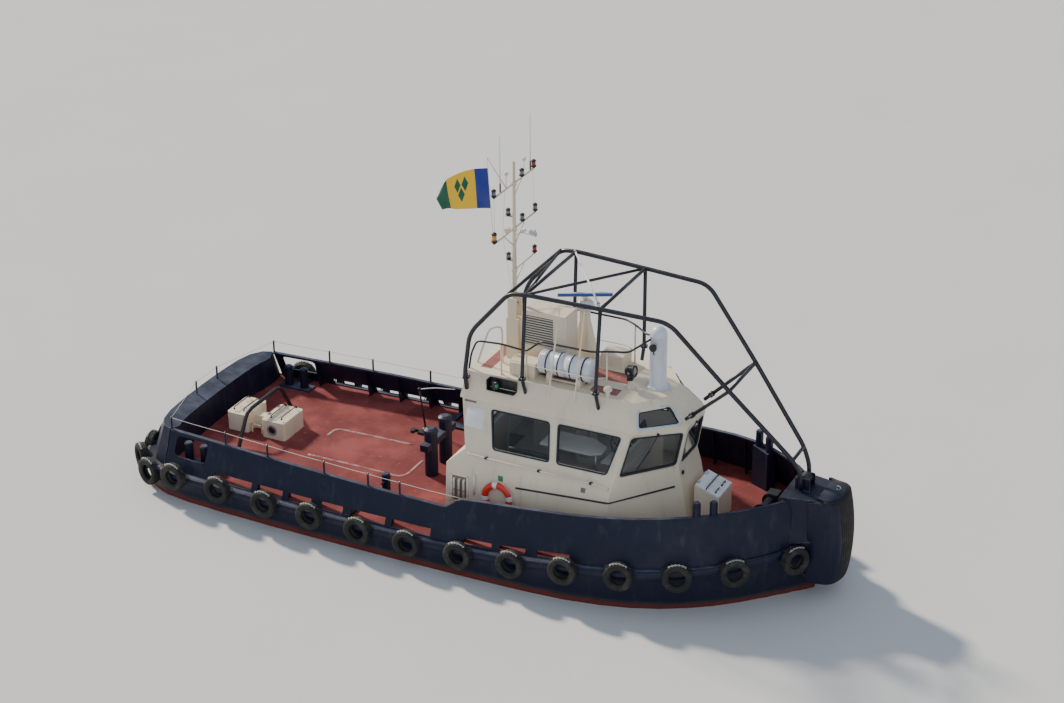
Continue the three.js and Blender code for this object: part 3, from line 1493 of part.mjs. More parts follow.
function makeSidelight(side) {
  const { x0, x1, y, z0, z1, bracket } = SIDELIGHT;
  const at = (d) => side * (y + d);
  const plate = slab(x0, x1, at(-15), at(0), z0, z1);
  const aftEnd = slab(x0, x0 + 15, at(-15), at(170), z0, z1);
  const foreEnd = slab(x1 - 15, x1, at(-15), at(60), z0, z1);
  const shelf = slab(x0, x1, at(-15), at(170), z0, z0 + 12);
  const light = rod([x0 + 160, at(90), z0 + 5], [x0 + 160, at(90), z0 + 190], 60, 10);
  const feet = [x0 + 80, x1 - 80].map((x) => slab(x - 20, x + 20, at(-80), at(20), z0 - bracket, z0 + 8));
  return cut(join(plate, aftEnd, foreEnd, shelf, light, feet), roofTool());
}

// A rail from a hoop at the roof's aft edge, along the side and in to the vent post
function makeRoofRail(side) {
  const at = (row, height) => [ROOF_RAIL.line[row][0], side * ROOF_RAIL.line[row][1], ROOF.top + height];
  const top = pipe(ROOF_RAIL.line.map((row, i) => at(i, row[2])), ROOF_RAIL.tube, ROOF_RAIL.bend, 5);
  const posts = ROOF_RAIL.posts.map((i) => rod(at(i, GAP), at(i, ROOF_RAIL.line[i][2]), ROOF_RAIL.post, 5));
  const middle = pipe(ROOF_RAIL.middleRows.map((i) => at(i, ROOF_RAIL.middle)), ROOF_RAIL.middleTube, 60, 5);
  const vent = rod([VENT.x, VENT.y, ROOF.top], [VENT.x, VENT.y, VENT.top], VENT.radius + GAP, 18);
  return cut(join(top, posts, middle), roofTool(), vent);
}

// Cage
function cagePoint(index, side) {
  const [x, y, z] = CAGE.line[index];
  return [x, side * y, z];
}

function cageRail(side, radius) {
  return pipe(CAGE.line.map((_, i) => cagePoint(i, side)), radius, CAGE.bend, 6);
}

// One side of the cage: its rail, its two posts with their flanges and the brace to the brow
function cageFrame(side, grow = 0) {
  const at = ([x, y, z]) => [x, side * y, z];
  const posts = CAGE.posts.map((row) =>
    pipe([at(row.slice(0, 3)), at(row.slice(3, 6)), at(row.slice(6, 9))], CAGE.brace + grow, 120, 6),
  );
  const brace = rod(at(CAGE.brow.slice(0, 3)), at(CAGE.brow.slice(3, 6)), CAGE.brace + grow, 6);
  const flanges = CAGE.posts.map((row) => {
    const [x, y, z] = at(row.slice(3, 6));
    return rod([x, y, z - 30], [x, y, z + 30], 85, 8);
  });
  return join(cageRail(side, CAGE.rail + grow), posts, brace, flanges);
}

function makeCageSide(side) {
  const frame = cageFrame(side);
  const whole = side === STARBOARD ? join(frame, cageCrossings()) : frame;
  return cut(whole, roofTool(), bowHousingSolid(GAP));
}

function roofTool() {
  const { foot, brow, top, browOutline, topOutline } = ROOF;
  const rows = [[browOutline, foot], [browOutline, brow + 0.5], [topOutline, top + GAP]];
  return loft(rows.map(([outline, z]) => roofRing(outline, z, -0.5)));
}

// The tubes across the cage, which end against the port rail
function cageCrossings() {
  const across = CAGE.crosses.map((i) => rod(cagePoint(i, STARBOARD), cagePoint(i, PORT), CAGE.brace, 6));
  const slanting = CAGE.diagonals.map(([from, to]) =>
    rod(cagePoint(from, STARBOARD), cagePoint(to, PORT), CAGE.brace * 0.8, 6),
  );
  return cut(join(across, slanting), cageFrame(PORT, GAP));
}

// Deck gear
function makeAftHatch() {
  const { half, top, lid, bridge, bridgeDrop, corner } = AFT_BOX;
  const boxes = AFT_BOXES.map(([x0, x1]) =>
    prism(roundedOutline(rectangle(x0, x1, -half, half), corner), "z", DECK_FOOT, top - lid - GAP),
  );
  const [linkAft, linkFore] = [AFT_BOXES[0][1] - 20, AFT_BOXES[1][0] + 20];
  const link = box(linkAft, linkFore, -bridge, bridge, DECK_FOOT, top - lid - bridgeDrop);
  return cut(join(boxes, link), deckTool);
}

function makeAftLid(index) {
  const { half, top, lid, corner } = AFT_BOX;
  const [x0, x1] = AFT_BOXES[index];
  const plate = prism(roundedOutline(rectangle(x0, x1, -half, half), corner), "z", top - lid, top);
  const grip = LID_HANDLE;
  const handles = [-grip.y, grip.y].map((y) => {
    const [aft, fore] = [(x0 + x1) / 2 - grip.half, (x0 + x1) / 2 + grip.half];
    const [low, high] = [top - grip.lap, top + grip.rise];
    const bow = [[aft, low], [aft, high], [fore, high], [fore, low]];
    return pipe(bow.map(([u, z]) => [u, y, z]), grip.radius, grip.bend, 5);
  });
  return join(plate, handles);
}

function makeTowArch() {
  const { x, foot, shoulder, top, crown, bend, radius } = TOW_ARCH;
  const line = [[-foot, DECK_FOOT], [-shoulder, top - crown], [shoulder, top - crown], [foot, DECK_FOOT]];
  return cut(pipe(line.map(([y, z]) => [x, y, z]), radius, bend, 8), deckTool);
}

function makeTowBitt() {
  const { x, y, radius, top, beamZ, beam, beamReach, beamHalf } = TOW_BITT;
  const height = top - DECK_FOOT;
  const profile = [
    [0, 0],
    [radius, 0],
    [radius, height - 110],
    [radius + 25, height - 100],
    [radius + 10, height - 40],
    [radius * 0.6, height],
    [0, height],
  ];
  const posts = [PORT, STARBOARD].map((side) => turned(profile, [x, side * y, DECK_FOOT], [0, 0, 1], 12));
  const reach = y + beamReach;
  const crossbeam = box(x - beam / 2, x + beam / 2, -reach, reach, beamZ - beamHalf, beamZ + beamHalf);
  return cut(join(posts, crossbeam, towLugs()), deckTool);
}

// The two lugs aft of the crossbeam, with the hook's pin between them
function towLugs() {
  const { x, beamZ, beam, lug, lugHalf, lugThick, lugGap, pin } = TOW_BITT;
  const face = x - beam / 2;
  const lugs = [1, -1].map((up) => {
    const [low, high] = span(beamZ + up * lugGap, beamZ + up * (lugGap + lugThick));
    return box(face - lug, face + 10, -lugHalf, lugHalf, low, high);
  });
  const pinHalf = lugGap + 20;
  return [...lugs, rod([towPivotX(), 0, beamZ - pinHalf], [towPivotX(), 0, beamZ + pinHalf], pin, 12)];
}

function towPivotX() {
  return TOW_BITT.x - TOW_BITT.beam / 2 - TOW_BITT.lug * 0.6;
}

function makeTowHook() {
  const { beamZ, lugGap, pin } = TOW_BITT;
  const { reach, half, heel, flare, throat: throatReach, mouth, thick } = TOW_HOOK;
  const pivot = towPivotX();
  const tip = pivot - reach;
  const corners = [[pivot + heel, -half], [pivot + heel, half], [tip, half + flare], [tip, -half]];
  const body = prism(roundedOutline(corners, 25, 2), "z", beamZ - thick / 2, beamZ + thick / 2);
  const bossHalf = lugGap - GAP;
  const boss = rod([pivot, 0, beamZ - bossHalf], [pivot, 0, beamZ + bossHalf], half - 8, 12);
  const bore = rod([pivot, 0, beamZ - 100], [pivot, 0, beamZ + 100], pin + 2, 12);
  const throatX = tip + throatReach;
  const throat = rod([throatX, -10, beamZ - 60], [throatX, -10, beamZ + 60], mouth, 12);
  const gate = box(throatX - mouth, throatX + mouth * 0.7, -200, -10, beamZ - 60, beamZ + 60);
  return cut(join(body, boss), bore, throat, gate);
}

// Two tall posts on a boxed plinth that stands beside the bulwark
function foreBollards(side) {
  const { x, y, turn, spacing, radius, foot, top, plinthTop } = FORE_BOLLARDS;
  const height = top - foot;
  const profile = [[0, 0], [radius, 0], [radius, height - 30], [radius - 20, height], [0, height]];
  const posts = [-0.5, 0.5].map((part) => turned(profile, [part * spacing, 0, foot], [0, 0, 1], 10));
  const plinth = box(-spacing * 0.75, spacing * 0.75, -radius - 30, radius + 30, foot, plinthTop);
  const web = box(-30, 30, 0, 700, foot, plinthTop - 100);
  const place = new THREE.Matrix4().makeRotationZ(-turn).setPosition(x, y, 0);
  const pair = moved(join(posts, plinth, web), place);
  return side === PORT ? pair : mirrored(pair);
}

function makeWindlassFrame() {
  const { x, z, radius, length, cheek, cheekGap, foot } = WINDLASS;
  const inner = length / 2 + cheekGap;
  const outline = [[x - 260, foot], [x + 330, foot], [x + 90, z + 120], [x - 90, z + 120]];
  const cheeks = pairOfPlates(outline, inner, cheek);
  const base = box(x - 260, x + 330, -inner - cheek, inner + cheek, foot, z - radius - 60);
  const motor = box(x - 130, x + 130, inner + cheek - 10, inner + cheek + 260, z - 130, z + 130);
  return cut(join(cheeks, base, motor), deckTool);
}

function makeWindlassDrum() {
  const { x, z, radius, length, cheekGap } = WINDLASS;
  const h = length / 2;
  const core = radius * 0.62;
  const profile = [
    [0, -h],
    [radius, -h],
    [radius, -h + 40],
    [core, -h + 50],
    [core, h - 50],
    [radius, h - 40],
    [radius, h],
    [0, h],
  ];
  const reach = h + cheekGap - GAP;
  const axle = rod([x, -reach, z], [x, reach, z], 45, 10);
  return join(turned(profile, [x, 0, z], [0, 1, 0], 14), axle);
}

function makeForeHatch() {
  const { x0, x1, half, aftTop, foreTop, lid } = FORE_HATCH;
  const drop = lid + GAP;
  const outline = [[x0, 900], [x1, 900], [x1, foreTop - drop], [x0 + 20, aftTop - drop], [x0, aftTop - drop]];
  return cut(prism(outline, "y", -half, half), deckTool);
}

function makeForeLid() {
  const { x0, x1, half, aftTop, foreTop, lid } = FORE_HATCH;
  const outline = [[x1, foreTop - lid], [x1, foreTop], [x0 + 20, aftTop], [x0 + 20, aftTop - lid]];
  const plate = prism(outline, "y", -half, half);
  const slope = (foreTop - aftTop) / (x1 - x0 - 20);
  const heightAt = (x) => foreTop + slope * (x - x1);
  const handles = [-120, 120].map((y) => {
    const [a, b] = [x0 + 220, x0 + 480];
    const bow = [[a, heightAt(a) - 8], [a, heightAt(a) + 45], [b, heightAt(b) + 45], [b, heightAt(b) - 8]];
    return pipe(bow.map(([u, z]) => [u, y, z]), 10, 25, 5);
  });
  return join(plate, handles);
}

function makeLifebuoy() {
  const { x, z, ring, tube, flat } = LIFEBUOY;
  const wall = houseLevel(z);
  const part = (x - wall[HOUSE.aftX]) / (wall[HOUSE.cornerX] - wall[HOUSE.aftX]);
  const half = wall[HOUSE.aftHalf] + (wall[HOUSE.cornerHalf] - wall[HOUSE.aftHalf]) * part;
  const lean = (houseLevel(z - 300)[HOUSE.aftHalf] - houseLevel(z + 300)[HOUSE.aftHalf]) / 600;
  const at = [x, -half - tube * flat + 4, z];
  const buoy = turned(ringProfile(ring, tube, tube * flat, 8), at, [0, -1, lean], 16);
  return cut(buoy, houseSpace(-GAP));
}

// The closed section of a ring: radius of its middle, and its half-sizes across and along the axis
function ringProfile(middle, across, along2, steps) {
  return Array.from({ length: steps + 1 }, (_, i) => {
    const angle = (2 * Math.PI * (i % steps)) / steps;
    return [middle + across * Math.cos(angle), along2 * Math.sin(angle)];
  });
}

function makeFlag() {
  const { top, foot, flyX, flyY, flyTop, flyFoot, thick } = FLAG;
  // The fly leans as the line does, so that both faces of the cloth are flat
  const lean = (GAFF.tipY - HALYARD.footY) / (GAFF.tipZ - YARDS[1][0]);
  const hoistY = (z) => GAFF.tipY + lean * (z - GAFF.tipZ);
  const flyEdgeY = (z) => flyY + lean * (z - (flyTop + flyFoot) / 2);
  const edge = (x, y, topZ, footZ) => [
    [x, y(topZ) - thick / 2, topZ],
    [x, y(topZ) + thick / 2, topZ],
    [x, y(footZ) + thick / 2, footZ],
    [x, y(footZ) - thick / 2, footZ],
  ];
  const hoistX = MAST.x - HALYARD.radius - GAP;
  return loft([edge(hoistX, hoistY, top, foot), edge(flyX, flyEdgeY, flyTop, flyFoot)]);
}

// Assembly
const group = new THREE.Group();

function addPiece(name, solid, material) {
  const piece = new THREE.Mesh(toGeometry(solid), material);
  piece.name = name;
  group.add(piece);
}

const SIDES = [["port", PORT], ["starboard", STARBOARD]];
const bulwarksFore = { [PORT]: makeBulwarkFore(PORT), [STARBOARD]: makeBulwarkFore(STARBOARD) };

addPiece("hull", hull, PAINT.navy);
addPiece("bulwark_stern", makeBulwarkStern(), PAINT.navy);
addPiece("belting_stern", makeBeltingStern(), PAINT.rubber);
addPiece("bow_fender", makeBowFender(), PAINT.rubber);
addPiece("bow_housing", makeBowHousing(), PAINT.navy);
addPiece("bow_roller", makeBowRoller(), PAINT.black);
for (const [word, side] of SIDES) {
  addPiece(`bulwark_aft_${word}`, makeBulwarkAft(side), PAINT.navy);
  addPiece(`bulwark_fore_${word}`, bulwarksFore[side], PAINT.navy);
  addPiece(`belting_${word}`, makeBeltingSide(side), PAINT.rubber);
  addPiece(`nozzle_${word}`, makeNozzle(side), PAINT.navy);
  addPiece(`propeller_${word}`, makePropeller(side), PAINT.bronze);
  addPiece(`rudder_${word}`, makeRudder(side), PAINT.navy);
  addPiece(`house_side_${word}`, makeHouseSide(side), PAINT.cream);
  addPiece(`house_quarter_${word}`, makeHouseQuarter(side), PAINT.cream);
  addPiece(`sidelight_${word}`, makeSidelight(side), PAINT.black);
  addPiece(`roof_rail_${word}`, makeRoofRail(side), PAINT.cream);
}
addPiece("house_front", makeHouseFront(), PAINT.cream);
addPiece("house_aft", makeHouseAft(), PAINT.cream);
addPiece("house_door", makeDoor(), PAINT.cream);
addPiece("house_floor", makeFloor(), PAINT.cream);
addPiece("house_roof", makeRoof(), PAINT.cream);

const glass = makeGlass();
for (const [word, side] of SIDES) addPiece(`glass_side_${word}`, glass.side(side), PAINT.glass);
addPiece("glass_screen", glass.screen, PAINT.glass);
addPiece("glass_aft", glass.aft, PAINT.glass);
addPiece("glass_skylight", makeSkylightGlass(), PAINT.glass);

addPiece("vent_casing", makeCasing(), PAINT.cream);
addPiece("mast_tabernacle", makeTabernacle(), PAINT.cream);
addPiece("mast", makeMast(), PAINT.cream);
addPiece("radar_pedestal", makeRadarPedestal(), PAINT.cream);
addPiece("radar_scanner", makeRadarScanner(), PAINT.white);
addPiece("vent_post", makeVentPost(), PAINT.white);
addPiece("life_raft", raftSolid(0), PAINT.white);
addPiece("searchlight", makeSearchlight(), PAINT.black);
addPiece("cage_port", makeCageSide(PORT), PAINT.black);
addPiece("cage_starboard", makeCageSide(STARBOARD), PAINT.black);

addPiece("hatch_aft", makeAftHatch(), PAINT.cream);
addPiece("hatch_aft_lid_aft", makeAftLid(0), PAINT.cream);
addPiece("hatch_aft_lid_fore", makeAftLid(1), PAINT.cream);
addPiece("tow_arch", makeTowArch(), PAINT.black);
addPiece("tow_bitt", makeTowBitt(), PAINT.navy);
addPiece("tow_hook", makeTowHook(), PAINT.black);
addPiece("windlass", makeWindlassFrame(), PAINT.black);
addPiece("windlass_drum", makeWindlassDrum(), PAINT.black);
addPiece("hatch_fore", makeForeHatch(), PAINT.cream);
addPiece("hatch_fore_lid", makeForeLid(), PAINT.cream);
addPiece("lifebuoy", makeLifebuoy(), PAINT.orange);
addPiece("flag", makeFlag(), PAINT.cloth);

export default group;
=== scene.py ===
# The looks of a harbour tug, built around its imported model. Metres, +X forward, +Y to port, +Z up.
import random
from math import acos, cos, pi, radians, sin

import bmesh
import bpy
from mathutils import Matrix, Vector
from mathutils.bvhtree import BVHTree


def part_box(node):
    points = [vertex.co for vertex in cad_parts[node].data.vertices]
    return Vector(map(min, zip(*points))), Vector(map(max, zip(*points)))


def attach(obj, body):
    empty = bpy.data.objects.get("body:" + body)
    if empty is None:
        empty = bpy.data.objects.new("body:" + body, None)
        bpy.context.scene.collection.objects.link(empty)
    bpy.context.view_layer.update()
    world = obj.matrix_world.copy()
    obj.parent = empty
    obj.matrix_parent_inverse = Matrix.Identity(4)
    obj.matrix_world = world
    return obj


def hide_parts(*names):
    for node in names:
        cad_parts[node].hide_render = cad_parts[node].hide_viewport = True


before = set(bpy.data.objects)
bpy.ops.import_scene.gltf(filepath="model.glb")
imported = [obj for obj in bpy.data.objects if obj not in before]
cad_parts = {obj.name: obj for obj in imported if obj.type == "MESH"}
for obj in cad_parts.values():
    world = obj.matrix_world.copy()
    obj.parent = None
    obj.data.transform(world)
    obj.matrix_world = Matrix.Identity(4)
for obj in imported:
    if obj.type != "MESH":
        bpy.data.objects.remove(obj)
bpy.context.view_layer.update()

PORT = 1
STARBOARD = -1
SIDES = (("port", PORT), ("starboard", STARBOARD))
UP = Vector((0, 0, 1))
FORWARD = Vector((1, 0, 0))
SEED = 7

# Camera, as solved from the straight edges of the boat in a picture 1064 pixels wide
CAMERA = {"place": (22.14, -42.855, 27.484), "azimuth": 26.35, "elevation": 25.971, "roll": -0.375}
PICTURE_WIDTH = 1064
FOCAL_PIXELS = 2453.83
SENSOR = 36.0

# The deck's edge and the bulwark's outer top edge, as in the solids
DECK_EDGE = [
    # x, half breadth, z
    (-8.02, 1.85, 0.72),
    (-7.85, 2.23, 0.72),
    (-7.5, 2.5, 0.72),
    (-7.0, 2.68, 0.72),
    (-5.5, 2.8, 0.72),
    (-3.5, 2.86, 0.72),
    (-1.2, 2.88, 0.725),
    (0.3, 2.88, 0.735),
    (1.5, 2.88, 0.8),
    (2.8, 2.86, 0.93),
    (4.0, 2.75, 1.01),
    (5.0, 2.5, 1.085),
    (6.0, 2.05, 1.19),
    (6.9, 1.35, 1.29),
    (7.45, 0.68, 1.38),
    (7.7, 0.06, 1.43),
]
RAIL_EDGE = [
    # x, half breadth, z
    (-7.2, 2.25, 1.52),
    (-5.5, 2.36, 1.51),
    (-3.5, 2.49, 1.49),
    (-1.2, 2.57, 1.455),
    (0.0, 2.59, 1.44),
    (0.1, 2.59, 1.445),
    (0.2, 2.57, 1.51),
    (0.32, 2.52, 1.61),
    (0.44, 2.485, 1.655),
    (1.2, 2.47, 1.715),
    (2.8, 2.46, 1.86),
    (4.0, 2.32, 1.97),
    (5.0, 2.08, 2.09),
    (6.0, 1.62, 2.2),
    (6.9, 0.89, 2.29),
    (7.35, 0.36, 2.335),
    (7.6, 0.04, 2.36),
]

BELTING = {"depth": 0.095, "height": 0.21, "aft_x": -7.3, "fore_x": 7.32, "stern_z": 0.72, "inner": 0.058}
# The ledge over the belting: out from the deck edge, and up
SHEER_SECTION = [(-0.055, 0.016), (0.05, 0.0), (0.052, -0.03), (-0.055, -0.02)]
TYRE = {"outer": 0.318, "tube": 0.11, "bite": 0.055, "half": 0.105, "segments": 60, "notch": 0.011}
TYRE_OUTSIDE = [
    # radius, share of the half breadth, part of the notched tread
    (0.169, 0.42, False),
    (0.177, 0.72, False),
    (0.22, 0.97, False),
    (0.227, 1.0, False),
    (0.273, 1.02, False),
    (0.306, 0.86, False),
    (0.316, 0.7, True),
    (0.318, 0.56, True),
    (0.308, 0.5, False),
    (0.308, 0.4, False),
    (0.318, 0.34, True),
    (0.318, 0.1, True),
    (0.308, 0.04, False),
]
TYRE_INSIDE = [
    # radius, share of the half breadth
    (0.283, 0.55),
    (0.29, 0.1),
]
CHAIN = {"link": 0.052, "wire": 0.0075, "lift": 0.012, "crown": 0.6, "front": 0.05, "back": -0.125}
SIDE_TYRES = [
    # x, how far its centre hangs below the deck edge
    (-6.72, 0.02),
    (-5.5, 0.02),
    (-4.26, 0.06),
    (-3.08, 0.06),
    (-1.86, 0.12),
    (-0.64, 0.14),
    (0.6, 0.14),
    (1.86, 0.12),
    (3.06, 0.1),
    (4.26, 0.08),
    (5.4, 0.1),
    (6.4, 0.14),
    (7.34, 0.24),
]
STERN_TYRES = [
    # x, y, z, angle of its axle from aft towards its own side, in degrees
    (-7.6, 2.58, 0.5, 70),
    (-8.05, 2.18, 0.6, 50),
    (-8.16, 1.58, 0.58, 8),
    (-8.17, 0.95, 0.56, 0),
    (-8.17, 0.32, 0.56, 0),
]
STERN_CORNERS = [
    # x, y, outward x, outward y
    (-8.02, 0.0, -1.0, 0.0),
    (-8.02, 1.5, -1.0, 0.0),
    (-8.02, 1.85, -0.85, 0.5),
    (-7.85, 2.23, -0.7, 0.7),
    (-7.5, 2.5, -0.4, 0.9),
    (-7.305, 2.585, -0.3, 0.95),
]
BOW_FENDER = {"front": 8.38, "back": 7.5, "half": 0.56, "top": 2.38, "bottom": 0.45, "ridges": 22,
              "nose": 0.33, "ridge": 0.014, "hollow": 0.11, "lean": 0.04, "fullest": 0.52}

# The deckhouse outline in plan at each level, port half
HOUSE_LEVELS = [
    # z, (aft corner), (fore corner), (front corner)
    (0.6, (-0.27, 1.95), (3.56, 1.95), (4.98, 0.59)),
    (2.12, (-0.24, 1.88), (3.6, 1.865), (4.71, 0.545)),
    (2.47, (0.15, 1.735), (3.653, 1.7), (4.625, 0.516)),
    (3.38, (-0.13, 1.275), (3.79, 1.26), (4.79, 0.49)),
    (3.43, (-0.145, 1.25), (3.797, 1.236), (4.799, 0.488)),
]
ROOF_TOP = 4.0
ROOF_LEVELS = [
    # z, (aft corner), (fore corner), (front corner)
    (3.48, (-0.19, 1.275), (3.87, 1.275), (4.815, 0.488)),
    (ROOF_TOP, (-0.11, 1.06), (3.79, 0.96), (4.26, 0.35)),
]
AFT, CORNER, FRONT = 0, 1, 2
SIDE_WALL, QUARTER_WALL, FRONT_WALL = (AFT, CORNER), (CORNER, FRONT), (FRONT, FRONT)
HOUSE_MIDDLE_X = 2.2
WINDOW_CORNER = 0.07
SKYLIGHT_CORNER = 0.05
SIDE_WINDOWS = [
    # aft foot x, fore foot x, fore head x, aft head x
    (0.8, 2.11, 1.96, 0.6),
    (2.31, 3.45, 3.62, 2.18),
]
SIDE_WINDOW_Z = (2.57, 3.3)
SCREEN_Z = (2.561, 3.307)
SCREEN_SHARES = {"quarter": (0.07, 0.93), "front": (0.09, 0.91)}
SKYLIGHT_Z = (3.542, 3.823)
SKYLIGHT_SHARES = (0.12, 0.88)
AFT_WINDOW = (-1.02, 0.23, 2.6, 3.27)
WIPER = [
    # share of the wall's length, z and how far off the wall, of the hub, elbow, foot and head
    (0.5, 3.35, 0.03),
    (0.36, 2.82, 0.035),
    (0.30, 2.64, 0.022),
    (0.44, 3.02, 0.022),
]
DOOR_LOCK_Z = 1.9
DOOR_HINGES_Z = (1.15, 1.87, 2.6)
# Corners of the door's pane: y off the door's middle, and z
DOOR_PANE = [(-0.17, 2.12), (0.17, 2.12), (0.17, 2.6), (-0.17, 2.6)]
# x and z along the side wall
HANDRAIL = [(0.257, 2.397), (0.695, 2.378), (1.948, 2.358), (3.165, 2.344), (3.56, 2.30)]
RUBBING_STRIP = [(1.437, 1.881), (2.5, 1.95), (3.57, 2.018)]

CAGE_LINE = [
    # x, y, z
    (-0.06, 1.205, 3.64),
    (-0.06, 1.29, 4.02),
    (0.12, 1.37, 5.07),
    (1.0, 1.27, 6.1),
    (1.38, 1.25, 6.15),
    (3.06, 1.15, 6.11),
    (4.56, 1.06, 6.06),
    (5.8, 0.75, 4.63),
    (7.1, 0.34, 3.12),
    (7.27, 0.25, 2.76),
    (7.27, 0.23, 2.42),
]
CAGE_POSTS = [
    # head, flange, foot
    ((1.38, 1.25, 6.15), (1.31, 1.29, 4.2), (1.31, 1.09, 3.7)),
    ((3.06, 1.15, 6.11), (3.01, 1.26, 4.21), (3.01, 1.08, 3.72)),
]
CAGE_BROW = ((5.8, 0.75, 4.63), (4.76, 0.5, 3.64))
# Rows of the line that are joined across the cage, straight and aslant
CAGE_CROSSES = (3, 4, 5, 7, 8)
CAGE_DIAGONALS = ((4, 5), (4, 3))
CAGE = {"rail": 0.048, "brace": 0.04, "bend": 0.26, "flange": 0.085, "bolts": 6}
CAGE_ROD = ((1.37, 1.2, 6.19), (3.02, -1.12, 6.17))

MAST_X = 0.51
MAST = {"heel": 4.97, "pivot": 5.23, "top": 8.5, "radius": 0.052, "tip": 0.034, "pin": 0.127, "horn_z": 6.82}
YARDS = [
    # z, starboard end, port end, radius
    (8.05, -0.93, 0.95, 0.026),
    (7.02, -0.95, 1.01, 0.026),
    (6.06, 0.03, 0.98, 0.02),
]
TOP_YARD_Z, LOW_YARD_Z = YARDS[0][0], YARDS[1][0]
LAMPS = [
    # x off the mast, y, foot z, radius, height, lens
    (0.0, -0.93, 8.065, 0.06, 0.19, "clear"),
    (0.0, 0.95, 8.065, 0.06, 0.19, "red"),
    (0.0, 0.38, 8.065, 0.06, 0.19, "clear"),
    (0.0, -0.93, 7.035, 0.066, 0.25, "amber"),
    (0.0, 1.01, 7.035, 0.06, 0.19, "clear"),
    (0.0, 0.39, 7.035, 0.06, 0.19, "clear"),
    (-0.14, 0.0, 7.29, 0.06, 0.17, "clear"),
    (-0.14, 0.0, 6.27, 0.06, 0.17, "clear"),
    (0.0, 0.97, 6.075, 0.06, 0.19, "red"),
]
MAST_STRUTS = [
    # y and z at the mast, y and z at the yard
    (0.06, 7.78, 0.4, 8.05),
    (-0.06, 6.65, -0.5, 7.02),
    (0.06, 6.65, 0.5, 7.02),
    (0.0, 5.72, 0.48, 6.06),
]
# On the mast's yards: y and z of the tips of the whips and of the globes, y and length of the horns
MAST_WHIPS = [(-0.63, 9.33), (0.79, 9.34)]
MAST_GLOBES = [(-0.34, 8.38), (0.49, 8.42)]
MAST_HORNS = [(0.3, 0.34), (0.41, 0.26)]
MAST_LINES = [
    # y and z at the head, y and z at the foot
    ((-0.34, 8.34), (-0.5, 7.04)),
    ((-0.5, 7.0), (-0.1, 5.6)),
    ((0.95, 8.03), (1.01, 7.04)),
    ((-0.88, 8.03), (-0.88, 7.04)),
]
GAFF = {"foot_y": -0.34, "tip_y": -1.2, "tip_z": 9.04}
HALYARD_FOOT_Y = -0.95
FLAG = {"top": 8.81, "foot": 7.87, "width": 1.31, "height": 0.95, "columns": 72, "rows": 44}
ROOF_RAIL_LINE = [
    # x, y, height over the roof
    (-0.15, 0.935, -0.1),
    (-0.08, 0.935, 0.35),
    (0.06, 0.935, 0.68),
    (0.64, 0.93, 0.72),
    (1.23, 0.905, 0.66),
    (1.56, 0.9, 0.95),
    (2.75, 0.885, 0.95),
    (3.03, 0.73, 0.95),
    (3.42, 0.48, 0.9),
    (3.76, 0.134, 1.125),
]
ROOF_RAIL = {"top": 0.022, "post": 0.019, "middle": 0.012, "middle_rise": 0.33}
# Rows of the line that have a post under them, and that the middle rail follows
ROOF_RAIL_POSTS = (3, 4, 7)
ROOF_RAIL_MIDDLE = (3, 4, 6, 7)
ROOF_PANELS = [
    # x from, x to, y from, y to
    (0.05, 0.33, -0.8, 0.8),
    (1.3, 2.5, -0.60, -0.32),
    (2.65, 3.3, -0.82, -0.5),
    (2.2, 3.3, -0.22, 0.25),
    (0.75, 1.6, 0.35, 0.8),
]
VENT = {"x": 3.89, "radius": 0.185, "top": 5.4, "flange": 0.27, "bolt_ring": 0.24, "bolts": 10}
RAFT = {"x": 2.05, "y": -0.59, "z": 4.35, "length": 1.25, "radius": 0.262}
# Shares of the raft's length from its middle
RAFT_STRAPS = (-0.33, -0.11, 0.12, 0.34)
CRADLE = {"x": 0.34, "y": 0.2, "half": 0.025, "wrap": 1.15}
RADAR = {"x": 1.89, "y": 0.62, "head": 5.173, "bar_z": 5.445, "length": 1.2, "turn": 0.46}
SEARCHLIGHT = {"z": 4.4, "lift": 0.12, "arm_y": 0.132}
LOUVRES = {"x": (0.868, 1.562), "z": (4.498, 5.192), "half": 0.285}
LIFEBUOY = {"ring": 0.29, "tube": 0.075, "flat": 0.8, "band": 5 / 96}

STANCHIONS_X = [-7.14, -5.64, -4.49, -2.98, -1.85, -1.05]
GUARD_WIRE = {"stern": (-7.63, 0.44, 1.8), "fore_x": 0.42, "inset": 0.045, "height": 0.285, "radius": 0.006}
DECK_LINES = [
    # x, y of the corners of each worn line
    ((-4.53, 0.25), (-4.53, 0.66), (-3.59, 0.7), (-2.5, 0.72)),
    ((-4.48, -0.72), (-2.92, -0.72), (-1.95, -0.76), (-1.94, 0.13)),
]
ROPE_POST = {"foot": (-2.67, 1.6), "head": (-2.81, 1.6, 1.73), "arm": [(-2.5, 1.78, 1.75), (-2.08, 2.0, 1.7)]}
AFT_LIDS = [
    # node, body, x of its two bars, x of its hinges
    ("hatch_aft_lid_aft", "aft_lid_aft", (-6.68, -6.42), -6.30),
    ("hatch_aft_lid_fore", "aft_lid_fore", (-5.4, -5.68), -5.80),
]
AFT_BOX_PORT = (-5.6, -0.44, 0.985)
AFT_BOX_BARS = [
    # low corner, high corner
    ((-6.25, -0.1, 1.0), (-5.9, 0.1, 1.03)),
    ((-6.22, -0.35, 0.76), (-6.19, -0.32, 0.98)),
    ((-5.96, -0.35, 0.76), (-5.93, -0.32, 0.98)),
    ((-6.22, -0.35, 0.95), (-5.93, -0.32, 0.98)),
]
FORE_LID = {"aft_x": 4.93, "fore_x": 5.5, "aft_top": 2.05, "fore_top": 1.86}
FORE_LID_BARS = [
    # x, y from, y to, rise, radius
    (5.19, -0.33, 0.33, 0.06, 0.014),
    (5.38, -0.26, -0.08, 0.05, 0.011),
    (5.38, 0.08, 0.26, 0.05, 0.011),
]
